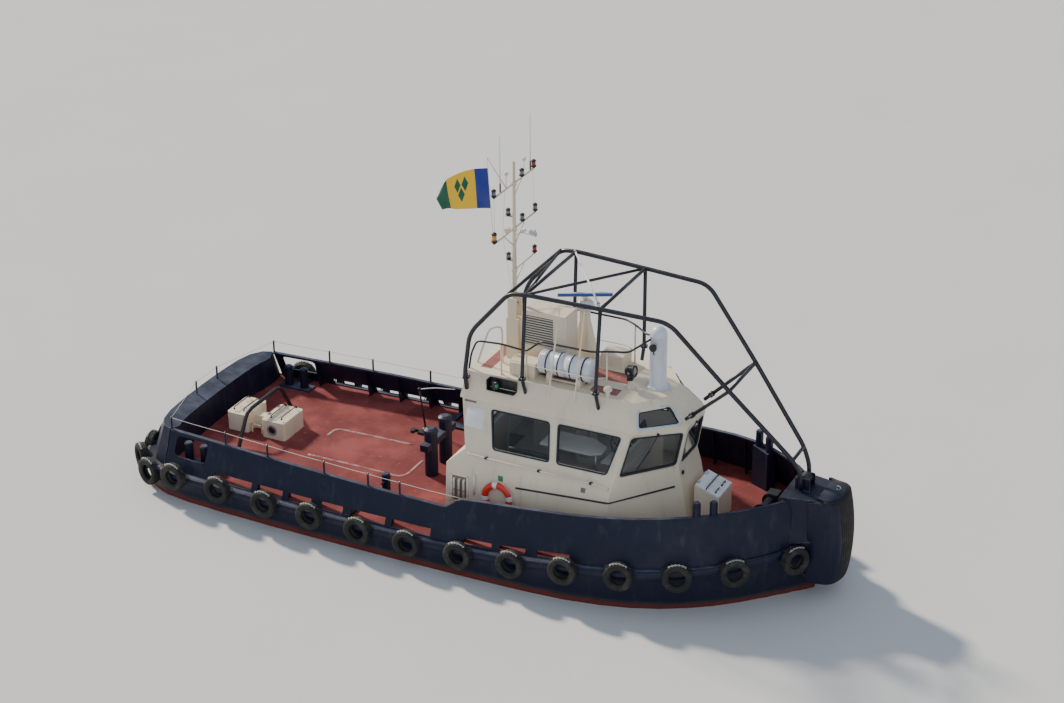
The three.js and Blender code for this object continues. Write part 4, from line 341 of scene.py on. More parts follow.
ANODES_X = (-5.2, -3.9, -2.6, -1.3)


# Shapes

def along(table, column, x):
    """One column's value at x, on a smooth curve through the table's rows."""
    i = 0
    while i < len(table) - 2 and table[i + 1][0] < x:
        i += 1

    def slope(k):
        low, high = max(k - 1, 0), min(k + 1, len(table) - 1)
        return (table[high][column] - table[low][column]) / (table[high][0] - table[low][0])

    span = table[i + 1][0] - table[i][0]
    t = min(max((x - table[i][0]) / span, 0.0), 1.0)
    ends = (2 * t**3 - 3 * t**2 + 1) * table[i][column] + (3 * t**2 - 2 * t**3) * table[i + 1][column]
    return ends + (t**3 - 2 * t**2 + t) * span * slope(i) + (t**3 - t**2) * span * slope(i + 1)


def deck_edge(x):
    return along(DECK_EDGE, 1, x), along(DECK_EDGE, 2, x)


def rail_edge(x):
    return along(RAIL_EDGE, 1, x), along(RAIL_EDGE, 2, x)


def spread(start, end, count):
    """Count + 1 even places from start to end."""
    return [start + (end - start) * i / count for i in range(count + 1)]


def mirror(point, side):
    return Vector((point[0], side * point[1], point[2]))


def eased(before, corner, after, radius, steps):
    """Points on a curve that cuts the corner."""
    back, ahead = before - corner, after - corner
    room = min(radius, back.length * 0.45, ahead.length * 0.45)
    start, end = corner + back.normalized() * room, corner + ahead.normalized() * room
    return [start.lerp(corner, t).lerp(corner.lerp(end, t), t) for t in spread(0, 1, steps)]


def bent(points, radius, steps=6):
    """A path through the points with its corners rounded off."""
    points = [Vector(p) for p in points]
    path = [points[0]]
    for before, corner, after in zip(points, points[1:], points[2:]):
        path += eased(before, corner, after, radius, steps)
    return path + [points[-1]]


def rounded(points, radius, steps=5):
    """A closed outline with its corners rounded off."""
    points = [Vector(p) for p in points]
    outline = []
    for i, corner in enumerate(points):
        outline += eased(points[i - 1], corner, points[(i + 1) % len(points)], radius, steps)
    return outline


def circle(radius, sides=12):
    return [(radius * cos(a), radius * sin(a)) for a in spread(0, 2 * pi, sides)[:-1]]


def ring_points(centre, axis, radius, count):
    axis = Vector(axis).normalized()
    u = axis.orthogonal().normalized()
    v = axis.cross(u)
    return [Vector(centre) + u * x + v * y for x, y in circle(radius, count)]


def carried(path, section, closed=False):
    """Rings of the flat section carried along the path."""
    count = len(path)
    rings = []
    side = None
    for i, point in enumerate(path):
        before = path[i - 1] if i or closed else point
        after = path[(i + 1) % count] if i < count - 1 or closed else point
        tangent = (after - before).normalized()
        if side is None:
            side = tangent.cross(UP)
            if side.length < 0.05:
                side = tangent.orthogonal()
        side = (side - tangent * side.dot(tangent)).normalized()
        other = side.cross(tangent)
        rings.append([point + side * u + other * v for u, v in section])
    return rings


def sharp_edges(mesh, angle):
    return [e for e in mesh.edges if len(e.link_faces) == 2 and e.calc_face_angle() > angle]


class Piece:
    """One object that is made of many shapes, each with its own finish."""

    BEVEL_ANGLE = 0.5
    HARD_ANGLE = 0.6

    def __init__(self, name, body="boat", replaces=(), slot="deck_gear"):
        self.name, self.body, self.nodes, self.slot = name, body, replaces, slot
        self.mesh = bmesh.new()
        self.finishes = []

    def finish_index(self, finish):
        if finish not in self.finishes:
            self.finishes.append(finish)
        return self.finishes.index(finish)

    def add(self, points, faces, finish, bevel=0.0):
        """Adds a closed shape, with its sharp edges bevelled off if a width is given."""
        part = bmesh.new()
        verts = [part.verts.new(p) for p in points]
        for face in faces:
            part.faces.new([verts[i] for i in face])
        bmesh.ops.recalc_face_normals(part, faces=part.faces)
        if bevel:
            sharp = sharp_edges(part, self.BEVEL_ANGLE)
            bmesh.ops.bevel(part, geom=sharp, offset=bevel, segments=2, profile=0.5, affect="EDGES",
                            clamp_overlap=True)
        index = self.finish_index(finish)
        copies = {v: self.mesh.verts.new(v.co) for v in part.verts}
        for face in part.faces:
            copy = self.mesh.faces.new([copies[v] for v in face.verts])
            copy.material_index = index
            copy.smooth = True
        part.free()

    def rings(self, rings, finish, closed=False, bevel=0.0):
        """A skin over rings of points, capped at both ends unless it closes on itself."""
        count = len(rings[0])
        points = [p for ring in rings for p in ring]
        faces = []
        for r in range(len(rings) if closed else len(rings) - 1):
            s = (r + 1) % len(rings)
            for i in range(count):
                j = (i + 1) % count
                faces.append((r * count + i, r * count + j, s * count + j, s * count + i))
        if not closed:
            faces.append(tuple(range(count - 1, -1, -1)))
            faces.append(tuple((len(rings) - 1) * count + i for i in range(count)))
        self.add(points, faces, finish, bevel)

    def tube(self, points, radius, finish, bend=0.0, sides=12, closed=False, steps=6):
        path = bent(points, bend, steps) if bend else [Vector(p) for p in points]
        self.rings(carried(path, circle(radius, sides), closed), finish, closed)

    def rod(self, start, end, radius, finish, sides=12, tip=None):
        start, end = Vector(start), Vector(end)
        rings = carried([start, end], circle(1.0, sides))
        sized = [(start, radius), (end, radius if tip is None else tip)]
        self.rings([[at + (p - at) * r for p in ring] for ring, (at, r) in zip(rings, sized)], finish)

    def lathe(self, profile, at, axis, finish, sides=32, closed=False, bevel=0.0):
        """A shape turned round an axis, from (radius, height) rows."""
        axis = Vector(axis).normalized()
        u = axis.orthogonal().normalized()
        v = axis.cross(u)
        rings = []
        for radius, height in profile:
            centre = Vector(at) + axis * height
            rings.append([centre + u * a + v * b for a, b in circle(max(radius, 0.0004), sides)])
        self.rings(rings, finish, closed, bevel)

    def disc(self, at, axis, radius, low, high, finish, sides=16, bevel=0.0):
        self.lathe([(0, low), (radius, low), (radius, high), (0, high)], at, axis, finish, sides, bevel=bevel)

    def box(self, low, high, finish, bevel=0.004, turn=None):
        x0, y0, z0 = low
        x1, y1, z1 = high
        ring = [(x0, y0), (x1, y0), (x1, y1), (x0, y1)]
        points = [Vector((x, y, z)) for z in (z0, z1) for x, y in ring]
        if turn:
            points = [turn @ p for p in points]
        faces = [(3, 2, 1, 0), (4, 5, 6, 7), (0, 1, 5, 4), (1, 2, 6, 5), (2, 3, 7, 6), (3, 0, 4, 7)]
        self.add(points, faces, finish, bevel)

    def block(self, centre, half, low, high, finish, bevel):
        """An upright box round a centre line."""
        (x, y), (a, b) = centre, half
        self.box((x - a, y - b, low), (x + a, y + b, high), finish, bevel)

    def plate(self, outline, push, finish, bevel=0.0):
        """A flat outline pushed along a vector."""
        push = Vector(push)
        self.rings([[Vector(p) for p in outline], [Vector(p) + push for p in outline]], finish, bevel=bevel)

    def done(self):
        """Makes the object, with its hard edges kept hard, and puts it on its body."""
        for edge in sharp_edges(self.mesh, self.HARD_ANGLE):
            edge.smooth = False
        data = bpy.data.meshes.new(self.name)
        self.mesh.to_mesh(data)
        self.mesh.free()
        for finish in self.finishes:
            data.materials.append(finish)
        piece = bpy.data.objects.new(self.name, data)
        bpy.context.scene.collection.objects.link(piece)
        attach(piece, self.body)
        if self.nodes:
            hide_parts(*self.nodes)
        return piece


# Finishes

class Finish:
    """A material whose colour, roughness and relief come from procedural nodes."""

    def __init__(self, name, rough=0.5, metal=0.0):
        self.material = bpy.data.materials.new(name)
        self.material.use_nodes = True
        self.nodes = self.material.node_tree.nodes
        self.links = self.material.node_tree.links
        self.shader = self.nodes["Principled BSDF"]
        self.fix("Roughness", rough)
        self.fix("Metallic", metal)
        self.place = self.nodes.new("ShaderNodeTexCoord").outputs["Object"]

    def fix(self, name, value):
        """Sets one of the shader's own values."""
        self.shader.inputs[name].default_value = value

    def put(self, socket, value):
        if isinstance(value, bpy.types.NodeSocket):
            self.links.new(value, socket)
        else:
            socket.default_value = (*value, 1.0) if isinstance(value, tuple) and len(value) == 3 else value

    def stretched(self, scale):
        node = self.nodes.new("ShaderNodeMapping")
        self.put(node.inputs["Vector"], self.place)
        node.inputs["Scale"].default_value = scale
        return node.outputs["Vector"]

    def noise(self, scale, detail=3.0, rough=0.55, stretch=None):
        node = self.nodes.new("ShaderNodeTexNoise")
        self.put(node.inputs["Vector"], self.stretched(stretch) if stretch else self.place)
        node.inputs["Scale"].default_value = scale
        node.inputs["Detail"].default_value = detail
        node.inputs["Roughness"].default_value = rough
        return node.outputs["Fac"]

    def waves(self, scale, axis):
        node = self.nodes.new("ShaderNodeTexWave")
        node.bands_direction = axis
        self.put(node.inputs["Vector"], self.place)
        node.inputs["Scale"].default_value = scale
        return node.outputs["Fac"]

    def between(self, value, low, high, to=(0.0, 1.0)):
        """Rises softly from the first of to at low to the second at high."""
        node = self.nodes.new("ShaderNodeMapRange")
        node.interpolation_type = "SMOOTHSTEP"
        self.put(node.inputs["Value"], value)
        node.inputs["From Min"].default_value = low
        node.inputs["From Max"].default_value = high
        node.inputs["To Min"].default_value, node.inputs["To Max"].default_value = to
        return node.outputs["Result"]

    def patches(self, scale, detail, low, high, rough=0.55, stretch=None, to=(0.0, 1.0)):
        return self.between(self.noise(scale, detail, rough, stretch), low, high, to)

    def inside(self, value, low, high, soft):
        return self.product(self.between(value, low, low + soft), self.between(value, high, high - soft))

    def maths(self, kind, a, b=0.0):
        node = self.nodes.new("ShaderNodeMath")
        node.operation = kind
        self.put(node.inputs[0], a)
        self.put(node.inputs[1], b)
        return node.outputs[0]

    def product(self, first, *others):
        for other in others:
            first = self.maths("MULTIPLY", first, other)
        return first

    def mix(self, share, a, b):
        node = self.nodes.new("ShaderNodeMix")
        node.data_type = "RGBA"
        self.put(node.inputs[0], share)
        self.put(node.inputs[6], a)
        self.put(node.inputs[7], b)
        return node.outputs[2]

    def axis(self, which, source=None):
        node = self.nodes.new("ShaderNodeSeparateXYZ")
        self.put(node.inputs[0], source or self.place)
        return node.outputs[which]

    def facing(self, which):
        geometry = self.nodes.new("ShaderNodeNewGeometry")
        return self.axis(which, geometry.outputs["True Normal"])

    def colour(self, value):
        self.put(self.shader.inputs["Base Color"], value)

    def rough(self, value):
        self.put(self.shader.inputs["Roughness"], value)

    def relief(self, height, depth, strength=1.0):
        node = self.nodes.new("ShaderNodeBump")
        self.put(node.inputs["Height"], height)
        node.inputs["Distance"].default_value = depth
        node.inputs["Strength"].default_value = strength
        existing = self.shader.inputs["Normal"].links
        if existing:
            self.put(node.inputs["Normal"], existing[0].from_socket)
        self.put(self.shader.inputs["Normal"], node.outputs["Normal"])


def toned(colour, factor):
    return tuple(min(c * factor, 1.0) for c in colour)


def weathered(finish, colour, worn, dirt, wear, streak):
    """Paint that varies softly, is streaked by rain and is rubbed through in small spots."""
    tone = finish.mix(finish.noise(0.9, 4), toned(colour, 0.82), toned(colour, 1.12))
    runs = finish.patches(1.0, 5, 0.52, 0.78, 0.6, (5.0, 5.0, 0.45))
    streaked = finish.mix(finish.product(runs, streak), tone, dirt)
    rubbed = finish.patches(9.0, 7, wear, wear + 0.05, 0.7)
    return finish.mix(rubbed, streaked, worn)


NAVY = (0.0066, 0.0088, 0.029)
NAVY_WORN = (0.06, 0.075, 0.12)
NAVY_GLOSS = 0.32
DECK_RED = (0.205, 0.034, 0.037)
ANTIFOUL = (0.16, 0.03, 0.024)
CREAM = (0.78, 0.68, 0.53)
CREAM_DIRT = (0.36, 0.29, 0.20)
BLACK = (0.011, 0.012, 0.016)
RUBBER = (0.012, 0.0115, 0.0115)
RED_TOP = 0.10
WEED_TOP = 0.20
DECK_FROM_X = -7.29


def hull_finish():
    """Navy sides over a red bottom, weedy where they meet, with the red deck on top."""
    f = Finish("hull_navy_enamel", 0.5)
    f.fix("Specular IOR Level", NAVY_GLOSS)
    z = f.axis(2)
    up = f.between(f.facing(2), 0.55, 0.75)
    deck = f.product(up, f.between(z, 0.45, 0.5), f.between(f.axis(0), DECK_FROM_X, DECK_FROM_X + 0.01))
    edge = f.maths("ADD", z, f.product(f.noise(3.0, 4), -0.06))
    weed = f.product(f.between(edge, WEED_TOP, WEED_TOP - 0.08), f.noise(2.0, 4), 0.7)
    navy = weathered(f, NAVY, NAVY_WORN, (0.05, 0.056, 0.07), 0.72, 0.45)
    bottom = weathered(f, ANTIFOUL, (0.10, 0.05, 0.04), (0.05, 0.06, 0.03), 0.7, 0.6)
    sides = f.mix(weed, navy, (0.09, 0.085, 0.06))
    outside = f.mix(f.between(edge, RED_TOP, RED_TOP - 0.015), sides, bottom)
    f.colour(f.mix(deck, outside, deck_colour(f)))
    enamel = f.patches(5.0, 4, 0.3, 0.7, to=(0.34, 0.56))
    f.rough(f.maths("MAXIMUM", enamel, f.product(deck, 0.82)))
    f.relief(f.waves(0.82, "X"), 0.004, 0.18)
    f.relief(f.noise(420.0, 2), 0.0004, 0.4)
    return f.material


def deck_colour(f):
    """Red deck paint, bleached and trodden paler in broad patches."""
    bleached = f.patches(0.7, 5, 0.42, 0.68, 0.62)
    base = f.mix(bleached, toned(DECK_RED, 0.8), (0.28, 0.062, 0.060))
    scuffed = f.mix(f.patches(6.0, 7, 0.60, 0.70, 0.72), base, (0.33, 0.12, 0.11))
    stained = f.patches(1.7, 6, 0.60, 0.74, 0.65, (1.0, 1.6, 1.0))
    return f.mix(f.product(stained, 0.55), scuffed, (0.085, 0.027, 0.028))


def navy_finish():
    f = Finish("bulwark_navy_enamel", 0.5)
    f.fix("Specular IOR Level", NAVY_GLOSS)
    navy = weathered(f, NAVY, NAVY_WORN, (0.045, 0.05, 0.062), 0.70, 0.5)
    # Up-facing faces are painted paler in broad patches, less so towards the bow: partly trodden wear, partly
    # a painted highlight of light falling on the tops
    up = f.between(f.facing(2), 0.8, 0.97)
    aft = f.between(f.axis(0), 7.0, 6.0, (0.15, 1.0))
    wear_and_highlight = f.product(f.patches(3.0, 5, 0.35, 0.7, to=(0.25, 0.8)), aft)
    f.colour(f.mix(f.product(up, wear_and_highlight), navy, toned(NAVY_WORN, 1.3)))
    f.rough(f.maths("MAXIMUM", f.patches(4.0, 4, 0.3, 0.7, to=(0.34, 0.58)), f.product(up, 0.62)))
    f.relief(f.noise(2.2, 3), 0.006, 0.3)
    return f.material


def rubbed_finish(name, rough, scale, bare_from, bare_to, paint, bare, grain, depth, strength):
    """Paint worn bare in patches, as on edges that things rub against."""
    f = Finish(name, rough)
    f.colour(f.mix(f.patches(scale, 6, bare_from, bare_to, 0.7), paint, bare))
    f.relief(f.noise(grain, 3), depth, strength)
    return f.material


def cream_base(f, streak):
    return weathered(f, CREAM, toned(CREAM, 1.12), CREAM_DIRT, 0.70, streak)


def cream_finish(name, lined):
    f = Finish(name, 0.4)
    spots = f.patches(14.0, 6, 0.68, 0.72, 0.75)
    cream = f.mix(f.product(spots, 0.6), cream_base(f, 0.35), (0.30, 0.15, 0.07))
    if lined:
        cream = f.mix(lining_zone(f), cream, (0.70, 0.71, 0.72))
    f.colour(cream)
    f.rough(f.patches(6.0, 4, 0.3, 0.7, to=(0.32, 0.5)))
    f.relief(f.noise(1.8, 3), 0.005, 0.35)
    f.relief(f.noise(300.0, 2), 0.0003, 0.4)
    return f.material


def lining_zone(f):
    """The inner faces of the deckhouse, which look towards its middle."""
    inward = f.between(f.product(f.axis(1), f.facing(1)), -0.1, -0.2)
    fore = f.product(f.between(f.axis(0), 3.5, 3.6), f.between(f.facing(0), -0.15, -0.25))
    aft = f.product(f.between(f.axis(0), 0.4, 0.3), f.between(f.facing(0), 0.3, 0.4))
    return f.maths("MAXIMUM", inward, f.maths("MAXIMUM", fore, aft))


def roof_finish():
    """Cream paint with dull red non-slip panels on the walked parts of the roof."""
    f = Finish("roof_cream_and_nonslip", 0.45)
    x, y = f.axis(0), f.axis(1)
    panels = 0.0
    for x0, x1, y0, y1 in ROOF_PANELS:
        panels = f.maths("MAXIMUM", panels, f.product(f.inside(x, x0, x1, 0.02), f.inside(y, y0, y1, 0.02)))
    on_top = f.between(f.axis(2), ROOF_TOP - 0.02, ROOF_TOP - 0.01)
    flat = f.product(f.between(f.facing(2), 0.97, 0.985), on_top)
    red = f.mix(f.noise(5.0, 5, 0.7), (0.20, 0.05, 0.045), (0.36, 0.13, 0.11))
    red = f.mix(f.patches(11.0, 6, 0.58, 0.68, 0.7), red, toned(CREAM, 0.8))
    f.colour(f.mix(f.product(flat, panels), cream_base(f, 0.3), red))
    f.rough(f.patches(6.0, 4, 0.3, 0.7, to=(0.36, 0.6)))
    f.relief(f.noise(260.0, 2), 0.0005, 0.5)
    return f.material


def black_finish(name, colour=BLACK, rough=0.42):
    f = Finish(name, rough)
    f.colour(weathered(f, colour, (0.075, 0.078, 0.085), (0.05, 0.042, 0.035), 0.64, 0.4))
    f.rough(f.patches(12.0, 4, 0.3, 0.7, to=(rough - 0.08, rough + 0.15)))
    f.relief(f.noise(120.0, 4), 0.0006, 0.5)
    return f.material


def rubber_finish(name, colour, dust):
    f = Finish(name, 0.8)
    scored = f.patches(4.0, 6, 0.60, 0.72, 0.7, (1.0, 1.0, 9.0))
    base = f.mix(f.patches(3.0, 6, 0.45, 0.7, 0.7), colour, dust)
    f.colour(f.mix(f.product(scored, 0.5), base, toned(dust, 1.9)))
    f.relief(f.noise(70.0, 5), 0.0015, 0.6)
    return f.material


def plain_finish(name, colour, rough=0.4, metal=0.0, tone=0.12, grain=150.0, depth=0.0004):
    """A nearly even surface with a little drift in tone and a fine grain."""
    f = Finish(name, rough, metal)
    f.colour(f.mix(f.noise(5.0, 5), toned(colour, 1 - tone), toned(colour, 1 + tone)))
    f.relief(f.noise(grain, 3), depth, 0.4)
    return f.material


def glass_finish():
    f = Finish("tinted_window_glass", 0.04)
    f.fix("Alpha", 0.13)
    f.fix("Specular IOR Level", 1.0)
    f.colour(f.mix(f.patches(2.0, 4, 0.4, 0.7), (0.035, 0.052, 0.058), (0.075, 0.10, 0.11)))
    return f.material


def casing_finish():
    """Cream outside, with shade painted into the louvres' depth."""
    f = Finish("casing_cream_and_shade", 0.45)
    louvred = f.product(f.inside(f.axis(0), *LOUVRES["x"], 0.007), f.inside(f.axis(2), *LOUVRES["z"], 0.005))
    deep = f.between(f.maths("ABSOLUTE", f.axis(1)), LOUVRES["half"] - 0.006, LOUVRES["half"] - 0.03)
    f.colour(f.mix(f.product(louvred, deep), cream_base(f, 0.35), (0.085, 0.09, 0.11)))
    f.relief(f.noise(260.0, 2), 0.0004, 0.4)
    return f.material


def lens_finish(name, colour):
    f = Finish(name, 0.12)
    f.fix("Coat Weight", 0.6)
    ribs = f.waves(60.0, "Z")
    f.colour(f.mix(ribs, toned(colour, 0.65), colour))
    f.relief(ribs, 0.0015, 0.5)
    return f.material


FLAG_BLUE, FLAG_GOLD, FLAG_GREEN = (0.014, 0.03, 0.26), (0.86, 0.52, 0.018), (0.004, 0.105, 0.06)
FLAG_BANDS = (0.251, 0.749)
DIAMOND_HALF = (0.056, 0.2)
DIAMONDS = [
    # along the cloth, up the cloth
    (0.435, 0.67),
    (0.562, 0.67),
    (0.502, 0.40),
]


def flag_finish():
    """Three bands and three diamonds of dyed cloth, from the cloth's own map of length and height."""
    f = Finish("flag_bunting", 0.85)
    cloth_map = f.nodes.new("ShaderNodeUVMap").outputs["UV"]
    u, v = f.axis(0, cloth_map), f.axis(1, cloth_map)
    cloth = FLAG_BLUE
    for end, dye in zip(FLAG_BANDS, (FLAG_GOLD, FLAG_GREEN)):
        cloth = f.mix(f.between(u, end - 0.002, end + 0.002), cloth, dye)
    for cu, cv in DIAMONDS:
        reach = [f.maths("DIVIDE", f.maths("ABSOLUTE", f.maths("SUBTRACT", place, centre)), half)
                 for place, centre, half in zip((u, v), (cu, cv), DIAMOND_HALF)]
        cloth = f.mix(f.between(f.maths("ADD", *reach), 1.02, 0.98), cloth, FLAG_GREEN)
    f.colour(f.mix(f.patches(3.0, 4, 0.3, 0.8, to=(0.0, 0.1)), cloth, (0.30, 0.27, 0.20)))
    weave = f.nodes.new("ShaderNodeTexChecker")
    f.put(weave.inputs["Vector"], cloth_map)
    weave.inputs["Scale"].default_value = 900.0
    f.relief(weave.outputs["Fac"], 0.0004, 0.5)
    f.fix("Sheen Weight", 0.05)
    return f.material


hull_paint = hull_finish()
navy_paint = navy_finish()
navy_edge = rubbed_finish("navy_rubbed_edge", 0.5, 7.0, 0.45, 0.6, toned(NAVY_WORN, 0.75), (0.30, 0.31, 0.33),
                          60.0, 0.001, 0.5)
house_paint = cream_finish("house_cream_enamel", True)
cream_paint = cream_finish("fitting_cream_enamel", False)
cream_edge = rubbed_finish("cream_rubbed_edge", 0.42, 8.0, 0.58, 0.7, toned(CREAM, 1.15), (0.42, 0.30, 0.20),
                           80.0, 0.0008, 0.4)
worn_line = rubbed_finish("worn_white_deck_line", 0.75, 7.0, 0.46, 0.60, (0.37, 0.20, 0.19),
                          (0.25, 0.072, 0.070), 90.0, 0.001, 0.5)
roof_paint = roof_finish()
casing_paint = casing_finish()
black_paint = black_finish("gear_black_enamel")
cage_paint = black_finish("cage_navy_black_enamel", (0.012, 0.014, 0.024), 0.36)
antifoul = black_finish("antifouling_red", ANTIFOUL, 0.7)
rubber = rubber_finish("fender_rubber", RUBBER, (0.052, 0.048, 0.043))
fender_rubber = rubber_finish("bow_fender_rubber", (0.012, 0.0105, 0.010), (0.032, 0.028, 0.025))
glass = glass_finish()
flag_cloth = flag_finish()
white_plastic = plain_finish("white_glass_fibre", (0.66, 0.70, 0.77), 0.3)
white_paint = plain_finish("white_gloss_paint", (0.74, 0.76, 0.78), 0.35)
blue_plastic = plain_finish("blue_gloss_plastic", (0.015, 0.075, 0.42), 0.3)
dark_strap = plain_finish("dark_blue_webbing", (0.02, 0.025, 0.09), 0.8, grain=900.0, depth=0.0008)
orange_plastic = plain_finish("red_buoy_shell", (0.70, 0.035, 0.022), 0.42)
rope_white = plain_finish("white_laid_rope", (0.62, 0.60, 0.54), 0.85, grain=700.0, depth=0.002)
chain_steel = plain_finish("galvanised_chain", (0.50, 0.50, 0.49), 0.5, 0.6)
dark_chain = plain_finish("dark_wet_chain", (0.035, 0.033, 0.033), 0.55, 0.4)
steel = plain_finish("bare_stainless", (0.56, 0.56, 0.55), 0.3, 0.9)
gasket = plain_finish("window_gasket", (0.02, 0.022, 0.025), 0.6)
grey_plastic = plain_finish("grey_plastic", (0.23, 0.24, 0.25), 0.5)
lining = plain_finish("cabin_lining_grey", (0.46, 0.45, 0.43), 0.6)
pale_panel = plain_finish("pale_panel", (0.62, 0.62, 0.58), 0.5)
bronze = plain_finish("cast_bronze", (0.55, 0.36, 0.15), 0.32, 1.0, 0.2, 40.0, 0.002)
zinc = plain_finish("cast_zinc", (0.42, 0.42, 0.40), 0.6, 0.3, 0.2, 60.0, 0.002)
seat_vinyl = plain_finish("dark_seat_vinyl", (0.045, 0.05, 0.065), 0.5, grain=220.0, depth=0.0006)
skylight_frame = plain_finish("pale_blue_frame", (0.50, 0.58, 0.68), 0.4)
green_plate = plain_finish("green_enamel_plate", (0.02, 0.22, 0.09), 0.35)
# Dark brown painted shade: the back of the wall recess, a thin strip high on the wall and the slots of a
# grille
painted_shade = plain_finish("painted_shade", (0.21, 0.18, 0.15), 0.8)
dark_glass = plain_finish("dark_screen_glass", (0.012, 0.015, 0.018), 0.08)
clear_lens = lens_finish("clear_lens", (0.17, 0.20, 0.21))
red_lens = lens_finish("red_lens", (0.42, 0.012, 0.016))
amber_lens = lens_finish("amber_lens", (0.85, 0.30, 0.02))
green_lens = lens_finish("green_lens", (0.01, 0.30, 0.09))
LENSES = {"clear": clear_lens, "red": red_lens, "amber": amber_lens}


# Solids that stay: welded, softened at their edges and painted

def sided(*stems):
    return [f"{stem}_{word}" for stem in stems for word, _ in SIDES]


WELD_REACH = 0.0001
FLAT_ANGLE = radians(0.4)
SOFT_ANGLE = radians(28.0)
DRESSED = [
    # nodes, finish, finish of the softened edges, width of the edges
    (["hull"], hull_paint, None, 0.012),
    (sided("bulwark_aft", "bulwark_fore") + ["bulwark_stern", "bow_housing"], navy_paint, navy_edge, 0.006),
    (["tow_bitt"], navy_paint, navy_edge, 0.008),
    (sided("house_side", "house_quarter") + ["house_front", "house_aft"], house_paint, None, 0.006),
    (["house_roof"], roof_paint, None, 0.01),
    (["vent_casing"], casing_paint, None, 0.005),
    (["house_door", "mast_tabernacle", "radar_pedestal"], cream_paint, cream_edge, 0.005),
    (["hatch_aft", "hatch_aft_lid_aft", "hatch_aft_lid_fore", "hatch_fore"], cream_paint, cream_edge, 0.005),
    (["hatch_fore_lid"], white_paint, None, 0.006),
    (["house_floor"], lining, None, 0.008),
    (["windlass", "windlass_drum", "tow_arch", "tow_hook", "bow_roller"], black_paint, None, 0.006),
    (sided("nozzle", "rudder"), antifoul, None, 0.006),
    (sided("propeller"), bronze, None, 0.004),
    (sided("sidelight"), black_paint, None, 0.002),
    (sided("glass_side") + ["glass_screen", "glass_aft", "glass_skylight"], glass, None, 0.001),
]


def dress(node, finish, edge, width):
    mesh = node.data
    if "custom_normal" in mesh.attributes:
        mesh.attributes.remove(mesh.attributes["custom_normal"])
    mesh.shade_smooth()
    mesh.materials.clear()
    mesh.materials.append(finish)
    mesh.materials.append(edge or finish)
    weld = node.modifiers.new("weld", "WELD")
    weld.merge_threshold = WELD_REACH
    flat = node.modifiers.new("flat", "DECIMATE")
    flat.decimate_type = "DISSOLVE"
    flat.angle_limit = FLAT_ANGLE
    soft = node.modifiers.new("soft", "BEVEL")
    soft.width = width
    soft.segments = 2
    soft.limit_method = "ANGLE"
    soft.angle_limit = SOFT_ANGLE
    soft.harden_normals = True
    soft.material = 1 if edge else -1


# Belting and tyres

def tyre_rows():
    """Radius and place along the axle round the tyre's closed section, and whether it is notched there."""
    outside = [(r, share * TYRE["half"], notched) for r, share, notched in TYRE_OUTSIDE]
    inside = [(r, share * TYRE["half"], False) for r, share in TYRE_INSIDE]
    far = [(r, -a, notched) for r, a, notched in outside[::-1] + inside]
    return outside + far + inside[::-1]


def add_tyre(piece, centre, axis, turn):
    axis = axis.normalized()
    u = (UP - axis * UP.dot(axis)).normalized()
    v = axis.cross(u)
    rows = tyre_rows()
    rings = []
    for i in range(TYRE["segments"]):
        angle = 2 * pi * (i + turn) / TYRE["segments"]
        out = u * cos(angle) + v * sin(angle)
        gap = 0.0 if i % 4 else TYRE["notch"]
        rings.append([centre + out * (r - gap * notched) + axis * a for r, a, notched in rows])
    piece.rings(rings, rubber, closed=True)


def side_seats(side):
    """Centre and outward direction of each side tyre, and the height of the deck edge there."""
    reach = BELTING["depth"] + TYRE["tube"] - TYRE["bite"]
    for x, drop in SIDE_TYRES:
        half, z = deck_edge(x)
        slope = (deck_edge(x + 0.1)[0] - deck_edge(x - 0.1)[0]) / 0.2
        out = Vector((-slope, 1.0, 0.0)).normalized()
        centre = Vector((x + reach * out.x, side * (half + reach * out.y), z - drop))
        yield centre, mirror(out, side), z


def stern_seats():
    for x, y, z, degrees in STERN_TYRES:
        turn = radians(degrees)
        out = (-cos(turn), sin(turn), 0)
        for side in (PORT, STARBOARD):
            yield mirror((x, y, z), side), mirror(out, side), BELTING["stern_z"]


def add_chain(piece, path, finish):
    """Oval links along a path, each turned a quarter from the last."""
    link, wire = CHAIN["link"], CHAIN["wire"]
    lengths = [0.0]
    for a, b in zip(path, path[1:]):
        lengths.append(lengths[-1] + (b - a).length)
    count = max(2, round(lengths[-1] / (link * 0.72)))
    for k in range(count):
        at = lengths[-1] * (k + 0.5) / count
        i = max(j for j in range(len(path) - 1) if lengths[j] <= at)
        t = (at - lengths[i]) / max(lengths[i + 1] - lengths[i], 1e-6)
        centre = path[i].lerp(path[i + 1], t)
        tangent = (path[i + 1] - path[i]).normalized()
        side = Matrix.Rotation(pi / 2 * (k % 2), 3, tangent) @ tangent.orthogonal().normalized()
        oval = [centre + (tangent * (link / 2 - wire) * a + side * link * 0.3 * b) for a, b in circle(1.0, 8)]
        piece.rings(carried(oval, circle(wire, 5), True), finish, closed=True)


def hang_tyre(piece, centre, out, edge_z):
    """A pale chain laid over the tyre's crown, with dark ends led round its tread back to the deck edge."""
    across = UP.cross(out).normalized()
    lift = TYRE["outer"] + CHAIN["lift"]
    crown, front, back = CHAIN["crown"], CHAIN["front"], CHAIN["back"]
    last = max(acos(min((edge_z + 0.01 - centre.z) / lift, 1.0)), crown + 0.15)

    def tread(angle, reach):
        return centre + across * lift * sin(angle) + Vector((0, 0, lift * cos(angle))) + out * reach

    add_chain(piece, [tread(angle, front) for angle in spread(-crown, crown, 10)], chain_steel)
    for turn in (-1, 1):
        path = [tread(turn * (crown + (last - crown) * t), front + (back - front) * t)
                for t in spread(0, 1, 6)]
        add_chain(piece, path, dark_chain)


